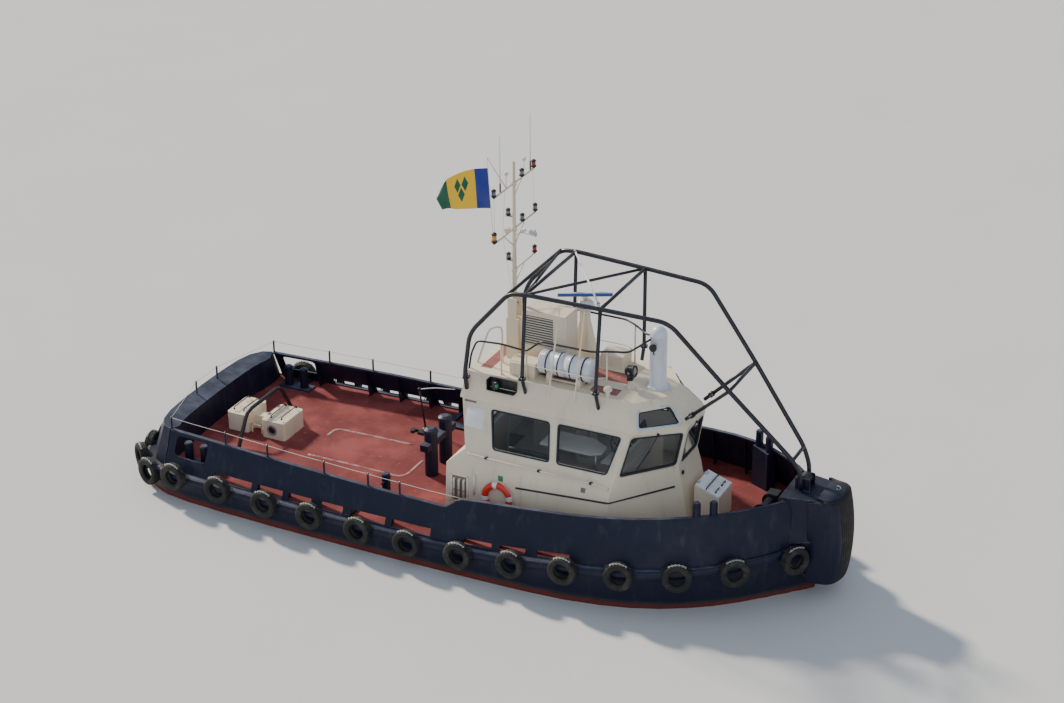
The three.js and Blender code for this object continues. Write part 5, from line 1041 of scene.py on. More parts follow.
def belting_section():
    depth, height, inner = BELTING["depth"], BELTING["height"], BELTING["inner"]
    crown = [(depth * 0.55, -0.004), (depth * 0.9, -0.03), (depth, -height / 2), (depth * 0.9, 0.03 - height)]
    return [(-inner, -0.002)] + crown + [(depth * 0.55, 0.004 - height), (-inner, -height + 0.002)]


def edge_rings(section, aft_x, fore_x, side):
    """Rings of a section carried along the deck's edge."""
    rings = []
    for x in spread(aft_x, fore_x, 90):
        half, z = deck_edge(x)
        rings.append([Vector((x, side * (half + d), z + h)) for d, h in section])
    return rings


def stern_rings():
    starboard = [(x, -y, nx, -ny) for x, y, nx, ny in reversed(STERN_CORNERS[1:])]
    rings = []
    for x, y, nx, ny in starboard + STERN_CORNERS:
        rings.append([Vector((x + nx * d, y + ny * d, BELTING["stern_z"] + h)) for d, h in belting_section()])
    return rings


def build_belting(word, rings, seats, seed):
    """A belt with its row of tyres, and the chains that hold them."""
    belt = Piece(f"belting_{word}_rubber", replaces=[f"belting_{word}"], slot="fender_rubber")
    belt.rings(rings, navy_paint)
    chains = Piece(f"tyre_chains_{word}")
    rng = random.Random(seed)
    for centre, out, edge_z in seats:
        add_tyre(belt, centre, out, rng.random())
        hang_tyre(chains, centre, out, edge_z)
    belt.done()
    chains.done()


def build_sheer_strip(word, side):
    """The navy ledge along the deck edge, over the belting."""
    strip = Piece(f"sheer_strip_{word}", slot="hull_paint")
    strip.rings(edge_rings(SHEER_SECTION, -7.4, 7.3, side), navy_paint)
    strip.done()


# The fender at the bow

def fender_level(z):
    return (z - BOW_FENDER["bottom"]) / (BOW_FENDER["top"] - BOW_FENDER["bottom"])


def fender_centre(z):
    """Where the round of the nose is centred at a height. It falls back above and below its fullest part."""
    level = fender_level(z)
    hollow = BOW_FENDER["hollow"] * (abs(level - BOW_FENDER["fullest"]) / 0.5) ** 2
    return BOW_FENDER["front"] - BOW_FENDER["nose"] - hollow - BOW_FENDER["lean"] * level


def build_bow_fender():
    fender = Piece("bow_fender_ribbed", replaces=["bow_fender"], slot="fender_rubber")
    back, half, nose, ridges = (BOW_FENDER[key] for key in ("back", "half", "nose", "ridges"))
    heel = [(back + 0.12, half + 0.06), (back + 0.4, 0.42), (back + 0.4, -0.42), (back + 0.12, -half - 0.06)]
    rings = []
    for z in spread(BOW_FENDER["bottom"], BOW_FENDER["top"], 28):
        shrink = 1.0 - 0.03 * max(0.0, abs(fender_level(z) - 0.5) * 2 - 0.9) / 0.1
        outline = []
        for a in spread(0, pi, ridges * 6):
            groove = BOW_FENDER["ridge"] * (1 - abs(sin(ridges * a)))
            ahead, across = (nose - groove) * shrink, (half - groove) * shrink
            outline.append((fender_centre(z) + ahead * sin(a), -across * cos(a)))
        rings.append([Vector((x, y, z)) for x, y in outline + heel])
    fender.rings(rings, fender_rubber)
    fender.done()


def build_bow_plates():
    """Navy cheeks that clasp the fender, and the plate over its top with a ring."""
    plates = Piece("bow_fender_plates", slot="hull_paint")
    back, half, nose, top = (BOW_FENDER[key] for key in ("back", "half", "nose", "top"))
    for side in (PORT, STARBOARD):
        rings = []
        for z in spread(BOW_FENDER["bottom"] + 0.02, top - 0.02, 12):
            outer = [Vector((back + 0.10, side * (half + 0.078), z))]
            for a in spread(pi / 2, 0.75, 8):
                x = fender_centre(z) + (nose + 0.015) * cos(a)
                outer.append(Vector((x, side * (half + 0.016) * sin(a), z)))
            rings.append(outer + [p + Vector((-0.012, -side * 0.03, 0)) for p in reversed(outer)])
        plates.rings(rings, navy_paint, bevel=0.004)
    round_x = BOW_FENDER["front"] - nose - 0.15
    curve = [(round_x + 0.24 * cos(a), 0.44 * sin(a)) for a in spread(-pi / 2, pi / 2, 14)]
    outline = [(x, y, top - 0.004) for x, y in curve + [(7.7, 0.44), (7.7, -0.44)]]
    plates.plate(outline, (0, 0, 0.018), navy_paint, 0.004)
    plates.tube(ring_points((7.98, 0.12, top + 0.06), (0.2, 1, 0), 0.05, 18), 0.011, steel, 0, 8, True)
    plates.block((7.98, 0.12), (0.03, 0.02), top + 0.01, top + 0.03, navy_edge, 0.004)
    plates.done()


# Cage and rails of tube

def add_flange(piece, at, axis):
    """Two discs bolted together."""
    axis = axis.normalized()
    for step in (-0.014, 0.014):
        piece.disc(at + axis * step, axis, CAGE["flange"], -0.011, 0.011, cage_paint, 24, 0.003)
    for centre in ring_points(at, axis, CAGE["flange"] * 0.78, CAGE["bolts"]):
        piece.disc(centre, axis, 0.011, -0.036, 0.036, steel, 6)


def add_clamp(piece, at, axis):
    """A sleeve with two bolts across it."""
    axis = axis.normalized()
    piece.lathe([(0.040, -0.06), (0.062, -0.05), (0.062, 0.05), (0.040, 0.06)], at, axis, cage_paint, 18)
    bolt = axis.cross(UP).normalized() * 0.085
    for step in (-0.03, 0.03):
        centre = at + axis * step
        piece.rod(centre - bolt, centre + bolt, 0.009, steel, 8)


def build_cage(word, side):
    cage = Piece(f"cage_{word}_tubes", replaces=[f"cage_{word}"], slot="cage_paint")
    brace = CAGE["brace"]
    line = [mirror(p, side) for p in CAGE_LINE]
    cage.tube(line, CAGE["rail"], cage_paint, CAGE["bend"], 16, steps=8)
    for post in CAGE_POSTS:
        head, flange, foot = (mirror(p, side) for p in post)
        cage.tube([head, flange, foot], brace, cage_paint, 0.12, 14)
        add_flange(cage, flange, UP)
        weld = [(brace, -0.012), (brace + 0.006, 0.0), (brace, 0.012)]
        cage.lathe(weld, head - UP * 0.05, UP, cage_paint, 16)
    head, foot = (mirror(p, side) for p in CAGE_BROW)
    cage.rod(head, foot, brace, cage_paint, 14)
    add_clamp(cage, head.lerp(foot, 0.86), foot - head)
    add_flange(cage, line[0] + Vector((0, side * 0.03, 0.30)), line[1] - line[0])
    if side == STARBOARD:
        crosses = [(i, i, brace) for i in CAGE_CROSSES] + [(i, j, brace * 0.8) for i, j in CAGE_DIAGONALS]
        for i, j, radius in crosses:
            cage.rod(line[i], mirror(CAGE_LINE[j], PORT), radius, cage_paint, 14)
    cage.done()


def build_cage_rod():
    """A pale rod lashed across the cage between its rails."""
    rod = Piece("cage_lashed_rod", slot="cage_paint")
    a, b = (Vector(p) for p in CAGE_ROD)
    rod.rod(a, b, 0.022, white_paint, 12)
    for share in (0.03, 0.97):
        rod.tube(ring_points(a.lerp(b, share), b - a, 0.032, 12), 0.009, black_paint, 0, 6, True)
    rod.done()


def build_roof_rail(word, side):
    rail = Piece(f"roof_rail_{word}_tubes", replaces=[f"roof_rail_{word}"], slot="house_paint")
    line = [Vector((x, side * y, ROOF_TOP + h)) for x, y, h in ROOF_RAIL_LINE]
    rail.tube(line, ROOF_RAIL["top"], cage_paint, 0.11, 12)
    for i in ROOF_RAIL_POSTS:
        foot = Vector((line[i].x, line[i].y, ROOF_TOP))
        rail.rod(foot, line[i], ROOF_RAIL["post"], cream_paint, 12)
        rail.lathe([(0, 0), (0.05, 0), (0.05, 0.012), (0.026, 0.018), (0, 0.018)], foot, UP, cream_paint, 18)
    middle = [Vector((line[i].x, line[i].y, ROOF_TOP + ROOF_RAIL["middle_rise"])) for i in ROOF_RAIL_MIDDLE]
    rail.tube(middle, ROOF_RAIL["middle"], cream_paint, 0.06, 10)
    rail.done()


# Mast, lamps and flag

def at_mast(y, z, ahead=0.0):
    return Vector((MAST_X + ahead, y, z))


def add_lamp(piece, at, r, h, lens):
    """A lamp's foot, lens and cap, from its radius and its height."""
    foot = [(0, -0.01), (r * 0.55, -0.01), (r * 0.55, h * 0.08), (r, h * 0.1), (r, h * 0.22)]
    body = [(0, h * 0.26), (r * 0.72, h * 0.26), (r * 0.8, h * 0.4), (r * 0.8, h * 0.6), (r * 0.72, h * 0.74)]
    cap = [(0, h * 0.74), (r * 0.9, h * 0.74), (r * 0.9, h * 0.84), (r * 0.5, h * 0.95), (0, h * 0.96)]
    piece.lathe(foot + [(r * 0.8, h * 0.26), (0, h * 0.26)], at, UP, black_paint, 20)
    piece.lathe(body + [(0, h * 0.74)], at, UP, LENSES[lens], 20)
    piece.lathe(cap, at, UP, black_paint, 20)


def build_mast():
    mast = Piece("mast_and_lamps", "mast", ["mast"], "house_paint")
    head = at_mast(0, MAST["top"])
    mast.rod(at_mast(0, MAST["heel"]), head, MAST["radius"], cream_paint, 24, MAST["tip"])
    mast.lathe([(0.03, 0), (0.03, 0.03), (0.012, 0.05)], head, UP, cream_paint, 16)
    mast.rod(at_mast(-MAST["pin"], MAST["pivot"]), at_mast(MAST["pin"], MAST["pivot"]), 0.028, steel, 16)
    for z, y0, y1, radius in YARDS:
        mast.rod(at_mast(y0, z), at_mast(y1, z), radius, cream_paint, 14)
        mast.lathe([(0.062, -0.05), (0.062, 0.05)], at_mast(0, z), UP, cream_paint, 20)
    for y0, z0, y1, z1 in MAST_STRUTS:
        mast.rod(at_mast(y0, z0), at_mast(y1, z1), 0.014, cream_paint, 10)
    for dx, y, z, radius, height, lens in LAMPS:
        add_lamp(mast, at_mast(y, z, dx), radius, height, lens)
        if dx:
            mast.box((MAST_X + dx - 0.05, -0.05, z - 0.014), (MAST_X, 0.05, z - 0.004), cream_paint, 0.002)
    for y, top in MAST_WHIPS:
        foot = at_mast(y, TOP_YARD_Z)
        mast.rod(foot, at_mast(y, top), 0.014, white_paint, 8, 0.009)
        mast.rod(foot, at_mast(y, TOP_YARD_Z + 0.22), 0.018, black_paint, 10)
    tip = at_mast(GAFF["tip_y"], GAFF["tip_z"])
    mast.rod(at_mast(GAFF["foot_y"], TOP_YARD_Z), tip, 0.012, cream_paint, 10, 0.008)
    mast.rod(tip, at_mast(HALYARD_FOOT_Y, LOW_YARD_Z), 0.005, rope_white, 6)
    mast.done()


def build_mast_fittings():
    """Globes, two horns on their arm, a small box and the signal lines."""
    fittings = Piece("mast_fittings", "mast", slot="deck_gear")
    globe = [(0.048 * cos(a), 0.048 * sin(a)) for a in spread(-1.5, 1.5, 10)]
    for y, z in MAST_GLOBES:
        fittings.rod(at_mast(y, TOP_YARD_Z), at_mast(y, z), 0.009, white_paint, 8)
        fittings.lathe(globe, at_mast(y, z), UP, white_plastic, 18)
    z = MAST["horn_z"]
    for y, length in MAST_HORNS:
        bell = [(0.014, 0), (0.016, length * 0.6), (0.03, length * 0.85), (0.055, length), (0.05, length)]
        fittings.lathe(bell + [(0.012, 0.03)], at_mast(y, z, 0.03), FORWARD, white_paint, 18, closed=True)
        fittings.rod(at_mast(y, z), at_mast(y, z, 0.06), 0.03, white_paint, 12)
    fittings.rod(at_mast(0.0, z), at_mast(0.44, z), 0.013, cream_paint, 10)
    fittings.block((MAST_X, -0.325), (0.05, 0.055), 7.05, 7.15, cream_paint, 0.008)
    for head, foot in MAST_LINES:
        fittings.rod(at_mast(*head, -0.02), at_mast(*foot, -0.02), 0.004, rope_white, 5)
    fittings.done()


def halyard_y(z):
    """Where the halyard runs at a height, between the gaff's tip and the lower yard."""
    share = (z - GAFF["tip_z"]) / (LOW_YARD_Z - GAFF["tip_z"])
    return GAFF["tip_y"] + (HALYARD_FOOT_Y - GAFF["tip_y"]) * share


def cloth_point(s, t):
    """A point of the flag, s along it from the hoist and t up it, with its drop, its fold and its waves."""
    z = FLAG["foot"] + (FLAG["top"] - FLAG["foot"]) * t
    drop = 0.25 * s + 0.43 * s**2.2 * t
    curl = 0.17 * max(0.0, s - 0.72) * abs(t - 0.45) * 6
    wave = 0.05 * s**0.6 * sin(8.2 * s - 2.0 * t + 0.6) + 0.018 * sin(17 * s + 4 * t) * s
    return MAST_X - 0.008 - FLAG["width"] * s * 0.985 + curl, halyard_y(z) + 0.02 * s + wave, z - drop


def build_flag():
    """The cloth streams aft from its line, sags and folds back at the fly."""
    width, height, columns, rows = (FLAG[key] for key in ("width", "height", "columns", "rows"))
    cloth = bmesh.new()
    uv = cloth.loops.layers.uv.new("map")
    grid = [[cloth.verts.new(cloth_point(s, t)) for t in spread(0, 1, rows)] for s in spread(0, 1, columns)]
    for i in range(columns):
        for j in range(rows):
            corners = ((i, j), (i + 1, j), (i + 1, j + 1), (i, j + 1))
            face = cloth.faces.new([grid[a][b] for a, b in corners])
            face.smooth = True
            for loop, (a, b) in zip(face.loops, corners):
                loop[uv].uv = (a / columns, b / rows)
    data = bpy.data.meshes.new("flag_cloth")
    cloth.to_mesh(data)
    cloth.free()
    data.materials.append(flag_cloth)
    piece = bpy.data.objects.new("flag_cloth", data)
    bpy.context.scene.collection.objects.link(piece)
    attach(piece, "mast")
    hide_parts("flag")


# Roof gear

def build_radar():
    x, y = RADAR["x"], RADAR["y"]
    scanner = Piece("radar_scanner_bar", "radar", ["radar_scanner"], "radome_plastic")
    turn = Matrix.Translation((x, y, RADAR["bar_z"])) @ Matrix.Rotation(RADAR["turn"], 4, "Z")
    section = rounded([(-0.045, 0.0, 0), (0.045, 0.0, 0), (0.03, 0.09, 0), (-0.045, 0.09, 0)], 0.02, 4)
    # How much each shell is shorter, wider and lower than the section
    for cut, wide, tall, finish in ((0.0, 1.0, 1.0, white_plastic), (0.012, 1.05, 0.94, blue_plastic)):
        outline = [(p.x * wide, 0.045 + (p.y - 0.045) * tall) for p in section]
        half = RADAR["length"] / 2 - cut
        rings = [[turn @ Vector((u, *place)) for place in outline] for u in (-half, half)]
        scanner.rings(rings, finish, bevel=0.004)
    hub = [(0, -0.08), (0.05, -0.08), (0.05, -0.02), (0.085, 0.0), (0.085, 0.012), (0, 0.012)]
    scanner.lathe(hub, (x, y, RADAR["bar_z"]), UP, white_plastic, 24)
    scanner.done()
    head = Piece("radar_gearbox_cover", slot="radome_plastic")
    dome = [(0, 0), (0.195, 0.0), (0.2, 0.03), (0.2, 0.09), (0.185, 0.13), (0.15, 0.165), (0.1, 0.185)]
    head.lathe(dome + [(0.05, 0.192), (0, 0.193)], (x, y, RADAR["head"]), UP, white_plastic, 40)
    seam = [(0.2, 0.05), (0.206, 0.052), (0.206, 0.066), (0.2, 0.068)]
    head.lathe(seam, (x, y, RADAR["head"]), UP, grey_plastic, 40)
    head.done()


def build_raft():
    """A canister with ribbed ends, a seam round its middle and four straps."""
    raft = Piece("life_raft_canister", replaces=["life_raft"], slot="radome_plastic")
    r, h = RAFT["radius"], RAFT["length"] / 2
    at = Vector((RAFT["x"], RAFT["y"], RAFT["z"]))
    half = [(r * 0.965, 0.022), (r * 0.99, 0.02), (r * 0.99, h * 0.3), (r * 0.965, h * 0.31)]
    for a in spread(h - 0.16, h - 0.056, 4):
        half += [(r * 0.965, a), (r * 0.985, a + 0.006), (r * 0.985, a + 0.018), (r * 0.965, a + 0.024)]
    half += [(r * 0.93, h - 0.025), (r * 0.85, h - 0.006), (r * 0.6, h), (0, h)]
    raft.lathe([(a, -b) for a, b in reversed(half)] + half, at, FORWARD, white_plastic, 48)
    strap = [(r * 0.985, -0.016), (r + 0.004, -0.014), (r + 0.004, 0.014), (r * 0.985, 0.016)]
    for place in RAFT_STRAPS:
        raft.lathe(strap, at + FORWARD * place * RAFT["length"], FORWARD, dark_strap, 48)
    raft.done()


def build_raft_cradle():
    cradle = Piece("life_raft_cradle", slot="house_paint")
    x, y, z, r = RAFT["x"], RAFT["y"], RAFT["z"], RAFT["radius"] + 0.012
    bar = flat_section(CRADLE["half"], -0.008, 0.008)
    for bar_x in (x - CRADLE["x"], x + CRADLE["x"]):
        angles = spread(-CRADLE["wrap"], CRADLE["wrap"], 12)
        arc = [Vector((bar_x, y + r * sin(a), z - r * cos(a))) for a in angles]
        cradle.rings(carried(arc, bar), cream_paint)
        for leg_y in (y - CRADLE["y"], y + CRADLE["y"]):
            cradle.block((bar_x, leg_y), (0.022, 0.018), ROOF_TOP - 0.004, z - 0.19, cream_paint, 0.004)
            cradle.block((bar_x, leg_y), (0.05, 0.045), ROOF_TOP - 0.004, ROOF_TOP + 0.01, cream_paint, 0.003)
    for leg_y in (y - CRADLE["y"], y + CRADLE["y"]):
        ends = [(x + dx, leg_y, z - 0.28) for dx in (-CRADLE["x"], CRADLE["x"])]
        cradle.rod(*ends, 0.014, cream_paint, 10)
    cradle.done()


def build_vent():
    vent = Piece("vent_post_column", replaces=["vent_post"], slot="house_paint")
    x, r, foot = VENT["x"], VENT["radius"], VENT["flange"]
    neck = VENT["top"] - ROOF_TOP - r
    profile = [(0, 0.0), (foot, 0.0), (foot, 0.022), (r + 0.03, 0.03), (r + 0.006, 0.06), (r, 0.1)]
    profile += [(r, neck - 0.02), (r + 0.004, neck - 0.016), (r + 0.004, neck)]
    profile += [(r * cos(a), neck + r * sin(a)) for a in spread(0.05, pi / 2, 9)]
    vent.lathe(profile, (x, 0, ROOF_TOP), UP, white_plastic, 48)
    for u, v in circle(VENT["bolt_ring"], VENT["bolts"]):
        vent.disc((x + u, v, ROOF_TOP + 0.02), UP, 0.014, 0, 0.016, steel, 6)
    horn = [(0, 0), (0.05, 0), (0.05, 0.06), (0.082, 0.075), (0.085, 0.11), (0.07, 0.115), (0, 0.105)]
    for side in (PORT, STARBOARD):
        centre = Vector((x - 0.02, side * (r - 0.02), VENT["top"] - 0.4))
        vent.lathe(horn, centre, (0, side, 0), black_paint, 28)
        cable = [centre + Vector((0, side * y, z)) for y, z in ((0.06, -0.05), (0.06, -0.16), (-0.01, -0.2))]
        vent.tube(cable, 0.012, black_paint, 0.05, 8)
    vent.done()


def build_searchlight():
    lamp = Piece("searchlight_barrel", "lamp", ["searchlight"])
    low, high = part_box("searchlight")
    x, y, z = (low.x + high.x) / 2, (low.y + high.y) / 2, SEARCHLIGHT["z"]
    at = Vector((x, y, z))
    axis = Vector((1, 0, SEARCHLIGHT["lift"])).normalized()
    shell = [(0, -0.13), (0.05, -0.128), (0.085, -0.11), (0.108, -0.07), (0.117, -0.02), (0.12, 0.06)]
    rim = [(0.126, 0.065), (0.126, 0.105), (0.112, 0.108), (0.106, 0.07), (0, 0.07)]
    lamp.lathe(shell + rim, at, axis, black_paint, 40)
    lamp.lathe([(0, 0.072), (0.104, 0.072), (0.104, 0.09), (0.06, 0.1), (0, 0.102)], at, axis, clear_lens, 36)
    fin = [(0.108, -0.006), (0.122, -0.004), (0.122, 0.004), (0.112, 0.006)]
    for place in spread(-0.05, 0.028, 3):
        lamp.lathe(fin, at + axis * place, axis, black_paint, 36)
    for side in (PORT, STARBOARD):
        arm_y = y + side * SEARCHLIGHT["arm_y"]
        lamp.block((x, arm_y), (0.025, 0.008), z - 0.16, z + 0.03, black_paint, 0.003)
        knob = [(0, 0), (0.03, 0), (0.024, 0.016), (0, 0.018)]
        lamp.lathe(knob, (x, arm_y, z), (0, side, 0), grey_plastic, 16)
    lamp.block((x, y), (0.038, 0.14), z - 0.18, z - 0.155, black_paint, 0.004)
    lamp.rod((x, y, z - 0.213), (x, y, z - 0.175), 0.045, black_paint, 20)
    lamp.done()


def build_sidelight_lenses():
    for word, side, lens in (("port", PORT, red_lens), ("starboard", STARBOARD, green_lens)):
        lenses = Piece(f"sidelight_lens_{word}", slot="lamp_box")
        low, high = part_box(f"sidelight_{word}")
        at = ((low.x + high.x) / 2 - 0.12, side * 1.24, low.z + 0.05)
        lenses.disc(at, UP, 0.055, 0, 0.03, black_paint, 18)
        lenses.lathe([(0, 0.03), (0.048, 0.03), (0.052, 0.09), (0.048, 0.14), (0, 0.14)], at, UP, lens, 20)
        lenses.lathe([(0, 0.14), (0.056, 0.14), (0.05, 0.165), (0, 0.17)], at, UP, black_paint, 18)
        lenses.done()


def build_lifebuoy():
    """A red ring with four white bands, and a grab line that stands off it in four bows."""
    buoy = Piece("lifebuoy_ring", replaces=["lifebuoy"], slot="buoy_plastic")
    low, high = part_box("lifebuoy")
    at = (low + high) / 2
    lean = Vector((0, -1, 0.083)).normalized()
    up = lean.cross(FORWARD)
    ring, tube, flat, band = (LIFEBUOY[key] for key in ("ring", "tube", "flat", "band"))

    def place(angle, reach, rise):
        return at + (FORWARD * cos(angle) + up * sin(angle)) * reach + lean * rise

    def add_arc(start, end, finish, proud):
        rings = []
        for a in spread(2 * pi * start, 2 * pi * end, 16):
            section = [((tube + proud) * c, (tube * flat + proud) * s) for c, s in circle(1.0, 20)]
            rings.append([place(a, ring + out, rise) for out, rise in section])
        buoy.rings(rings, finish)

    for start in (0.0, 0.25, 0.5, 0.75):
        add_arc(start, start + band, white_paint, 0.003)
        add_arc(start + band, start + 0.25, orange_plastic, 0.0)
    angles = spread(0, 2 * pi, 96)[:-1]
    rope = [place(a, ring + tube + 0.028 * cos(2 * a) ** 2, 0.01) for a in angles]
    buoy.tube(rope, 0.007, rope_white, 0, 8, True)
    buoy.done()


# The deckhouse's fittings, set out on its leaning walls

def house_corner(which, z, levels):
    i = 0
    while i < len(levels) - 2 and levels[i + 1][0] < z:
        i += 1
    low, high = levels[i], levels[i + 1]
    t = (z - low[0]) / (high[0] - low[0])
    x, y = (a + (b - a) * t for a, b in zip(low[1 + which], high[1 + which]))
    return Vector((x, y, z))


def wall_point(wall, share, z, side, levels=HOUSE_LEVELS):
    """A point part of the way along a wall, from its first corner to its second."""
    start, end = wall
    a, b = house_corner(start, z, levels), house_corner(end, z, levels)
    if start == end:
        b.y = -b.y
    return mirror(a.lerp(b, share), side)


def side_point(x, z, side):
    a, b = house_corner(AFT, z, HOUSE_LEVELS), house_corner(CORNER, z, HOUSE_LEVELS)
    return wall_point(SIDE_WALL, (x - a.x) / (b.x - a.x), z, side)


def outward(points):
    """The direction away from the middle of the deckhouse, square to the points' plane."""
    normal = (points[1] - points[0]).cross(points[2] - points[0]).normalized()
    away = points[0] - Vector((HOUSE_MIDDLE_X, 0.0, points[0].z))
    return normal if normal.dot(away) > 0 else -normal


def side_outward(x, z, side):
    return outward([side_point(x, z, side), side_point(x + 0.1, z, side), side_point(x, z + 0.02, side)])


def grown(corners, by):
    """A convex outline with each edge moved out by the same distance."""
    out = []
    for i, corner in enumerate(corners):
        a = (corner - corners[i - 1]).normalized()
        b = (corner - corners[(i + 1) % len(corners)]).normalized()
        out.append(corner + (a + b) * by / a.cross(b).length)
    return out


def frame_round(piece, corners, radius, form):
    """A flat frame round an opening, from inside its edge to a little way out over the wall."""
    inner, outer, low, high, finish = form
    normal = outward(corners)
    loops = []
    for by, depth in ((-inner, low), (-inner, high), (outer, high), (outer, low)):
        loops.append([p + normal * depth for p in rounded(grown(corners, by), radius + by)])
    piece.rings(loops, finish, closed=True)


def wall_quad(wall, shares, heights, side, levels=HOUSE_LEVELS):
    (u0, u1), (z0, z1) = shares, heights
    return [wall_point(wall, u, z, side, levels) for u, z in ((u0, z0), (u1, z0), (u1, z1), (u0, z1))]


def window_openings():
    """The corners of every window cut in the walls."""
    low, high = SIDE_WINDOW_Z
    for side in (PORT, STARBOARD):
        for x0, x1, x2, x3 in SIDE_WINDOWS:
            yield [side_point(x, z, side) for x, z in ((x0, low), (x1, low), (x2, high), (x3, high))]
        yield wall_quad(QUARTER_WALL, SCREEN_SHARES["quarter"], SCREEN_Z, side)
    yield wall_quad(FRONT_WALL, SCREEN_SHARES["front"], SCREEN_Z, PORT)
    y0, y1, z0, z1 = AFT_WINDOW
    corners = [(y0, z0), (y1, z0), (y1, z1), (y0, z1)]
    yield [Vector((house_corner(AFT, z, HOUSE_LEVELS).x, y, z)) for y, z in corners]


WINDOW_FORMS = [
    # how far in over the opening, how far out over the wall, sunk to, raised to, finish
    (0.012, 0.022, -0.048, 0.010, gasket),
    (-0.022, 0.038, -0.004, 0.006, pale_panel),
]
SKYLIGHT_FORMS = [
    (0.012, 0.010, -0.048, 0.014, gasket),
    (-0.010, 0.055, -0.004, 0.018, skylight_frame),
]
DOOR_PANE_FORM = (0.0, 0.03, -0.002, 0.012, gasket)


def build_window_frames():
    frames = Piece("window_gaskets", slot="lamp_box")
    for corners in window_openings():
        for form in WINDOW_FORMS:
            frame_round(frames, corners, WINDOW_CORNER, form)
    for side in (PORT, STARBOARD):
        corners = wall_quad(QUARTER_WALL, SKYLIGHT_SHARES, SKYLIGHT_Z, side, ROOF_LEVELS)
        for form in SKYLIGHT_FORMS:
            frame_round(frames, corners, SKYLIGHT_CORNER, form)
    frames.done()


def build_wipers():
    wipers = Piece("window_wipers", slot="lamp_box")
    knob = [(0, -0.03), (0.028, -0.03), (0.028, 0.012), (0.012, 0.02), (0, 0.02)]
    for wall, side in ((QUARTER_WALL, PORT), (QUARTER_WALL, STARBOARD), (FRONT_WALL, PORT)):
        normal = outward(wall_quad(wall, (0.2, 0.8), SCREEN_Z, side))
        hub, reach, low, high = (wall_point(wall, share, z, side) + normal * off for share, z, off in WIPER)
        wipers.lathe(knob, hub, normal, black_paint, 16)
        wipers.rod(hub, reach, 0.009, black_paint, 8)
        wipers.rod(low, high, 0.008, gasket, 6)
    wipers.done()


def build_handrail(word, side):
    rail = Piece(f"handrail_{word}", slot="house_paint")
    on_wall = [side_point(x, z, side) for x, z in HANDRAIL]
    normals = [side_outward(x, z, side) for x, z in HANDRAIL]
    points = [at + normal * 0.06 for at, normal in zip(on_wall, normals)]
    rail.tube([on_wall[0]] + points + [on_wall[-1]], 0.016, cream_paint, 0.05, 12)
    for at, point, normal in list(zip(on_wall, points, normals))[1:-1]:
        rail.rod(point - normal * 0.065, point, 0.011, black_paint, 10)
        rail.disc(point, FORWARD, 0.03, -0.028, 0.028, black_paint, bevel=0.004)
        rail.disc(at, normal, 0.035, 0, 0.008, black_paint)
    rail.done()


def build_rubbing_strip(word, side):
    strip = Piece(f"rubbing_strip_{word}", slot="fender_rubber")
    path = [side_point(x, z, side) for x, z in RUBBING_STRIP]
    path += [wall_point(QUARTER_WALL, share, 2.02 + 0.058 * share, side) for share in (0.02, 0.45, 0.9)]
    strip.tube(path, 0.022, gasket, 0.04, 12)
    strip.done()


# Plates on the side walls, of the recess on both sides and of the starboard side alone; the dark brown ones
# are painted shade
RECESS_PLATES = [
    # x from, x to, z from, z to, thickness, finish
    (-0.10, 0.27, 1.26, 1.87, 0.006, painted_shade),
    (-0.13, -0.09, 1.23, 1.90, 0.022, cream_edge),
    (0.26, 0.30, 1.23, 1.90, 0.022, cream_edge),
    (-0.13, 0.30, 1.86, 1.90, 0.022, cream_edge),
    (-0.13, 0.30, 1.23, 1.27, 0.022, cream_edge),
    (-0.08, 0.20, 3.365, 3.40, 0.012, painted_shade),
]
STARBOARD_PLATES = [
    # x from, x to, z from, z to, thickness, finish
    (0.03, 0.45, 2.90, 3.29, 0.006, white_paint),
    (1.01, 1.13, 1.955, 2.085, 0.004, green_plate),
    (2.95, 3.06, 2.13, 2.225, 0.008, grey_plastic),
]
BOTTLES_X = (-0.035, 0.085, 0.20)
TUBE_X = 0.457
PLATE_SINK = 0.004


def wall_plate(piece, plate, side, bevel=0.003):
    x0, x1, z0, z1, thick, finish = plate
    corners = [side_point(x, z, side) for x, z in ((x0, z0), (x1, z0), (x1, z1), (x0, z1))]
    normal = outward(corners)
    piece.plate([p - normal * PLATE_SINK for p in corners], normal * (thick + PLATE_SINK), finish, bevel)


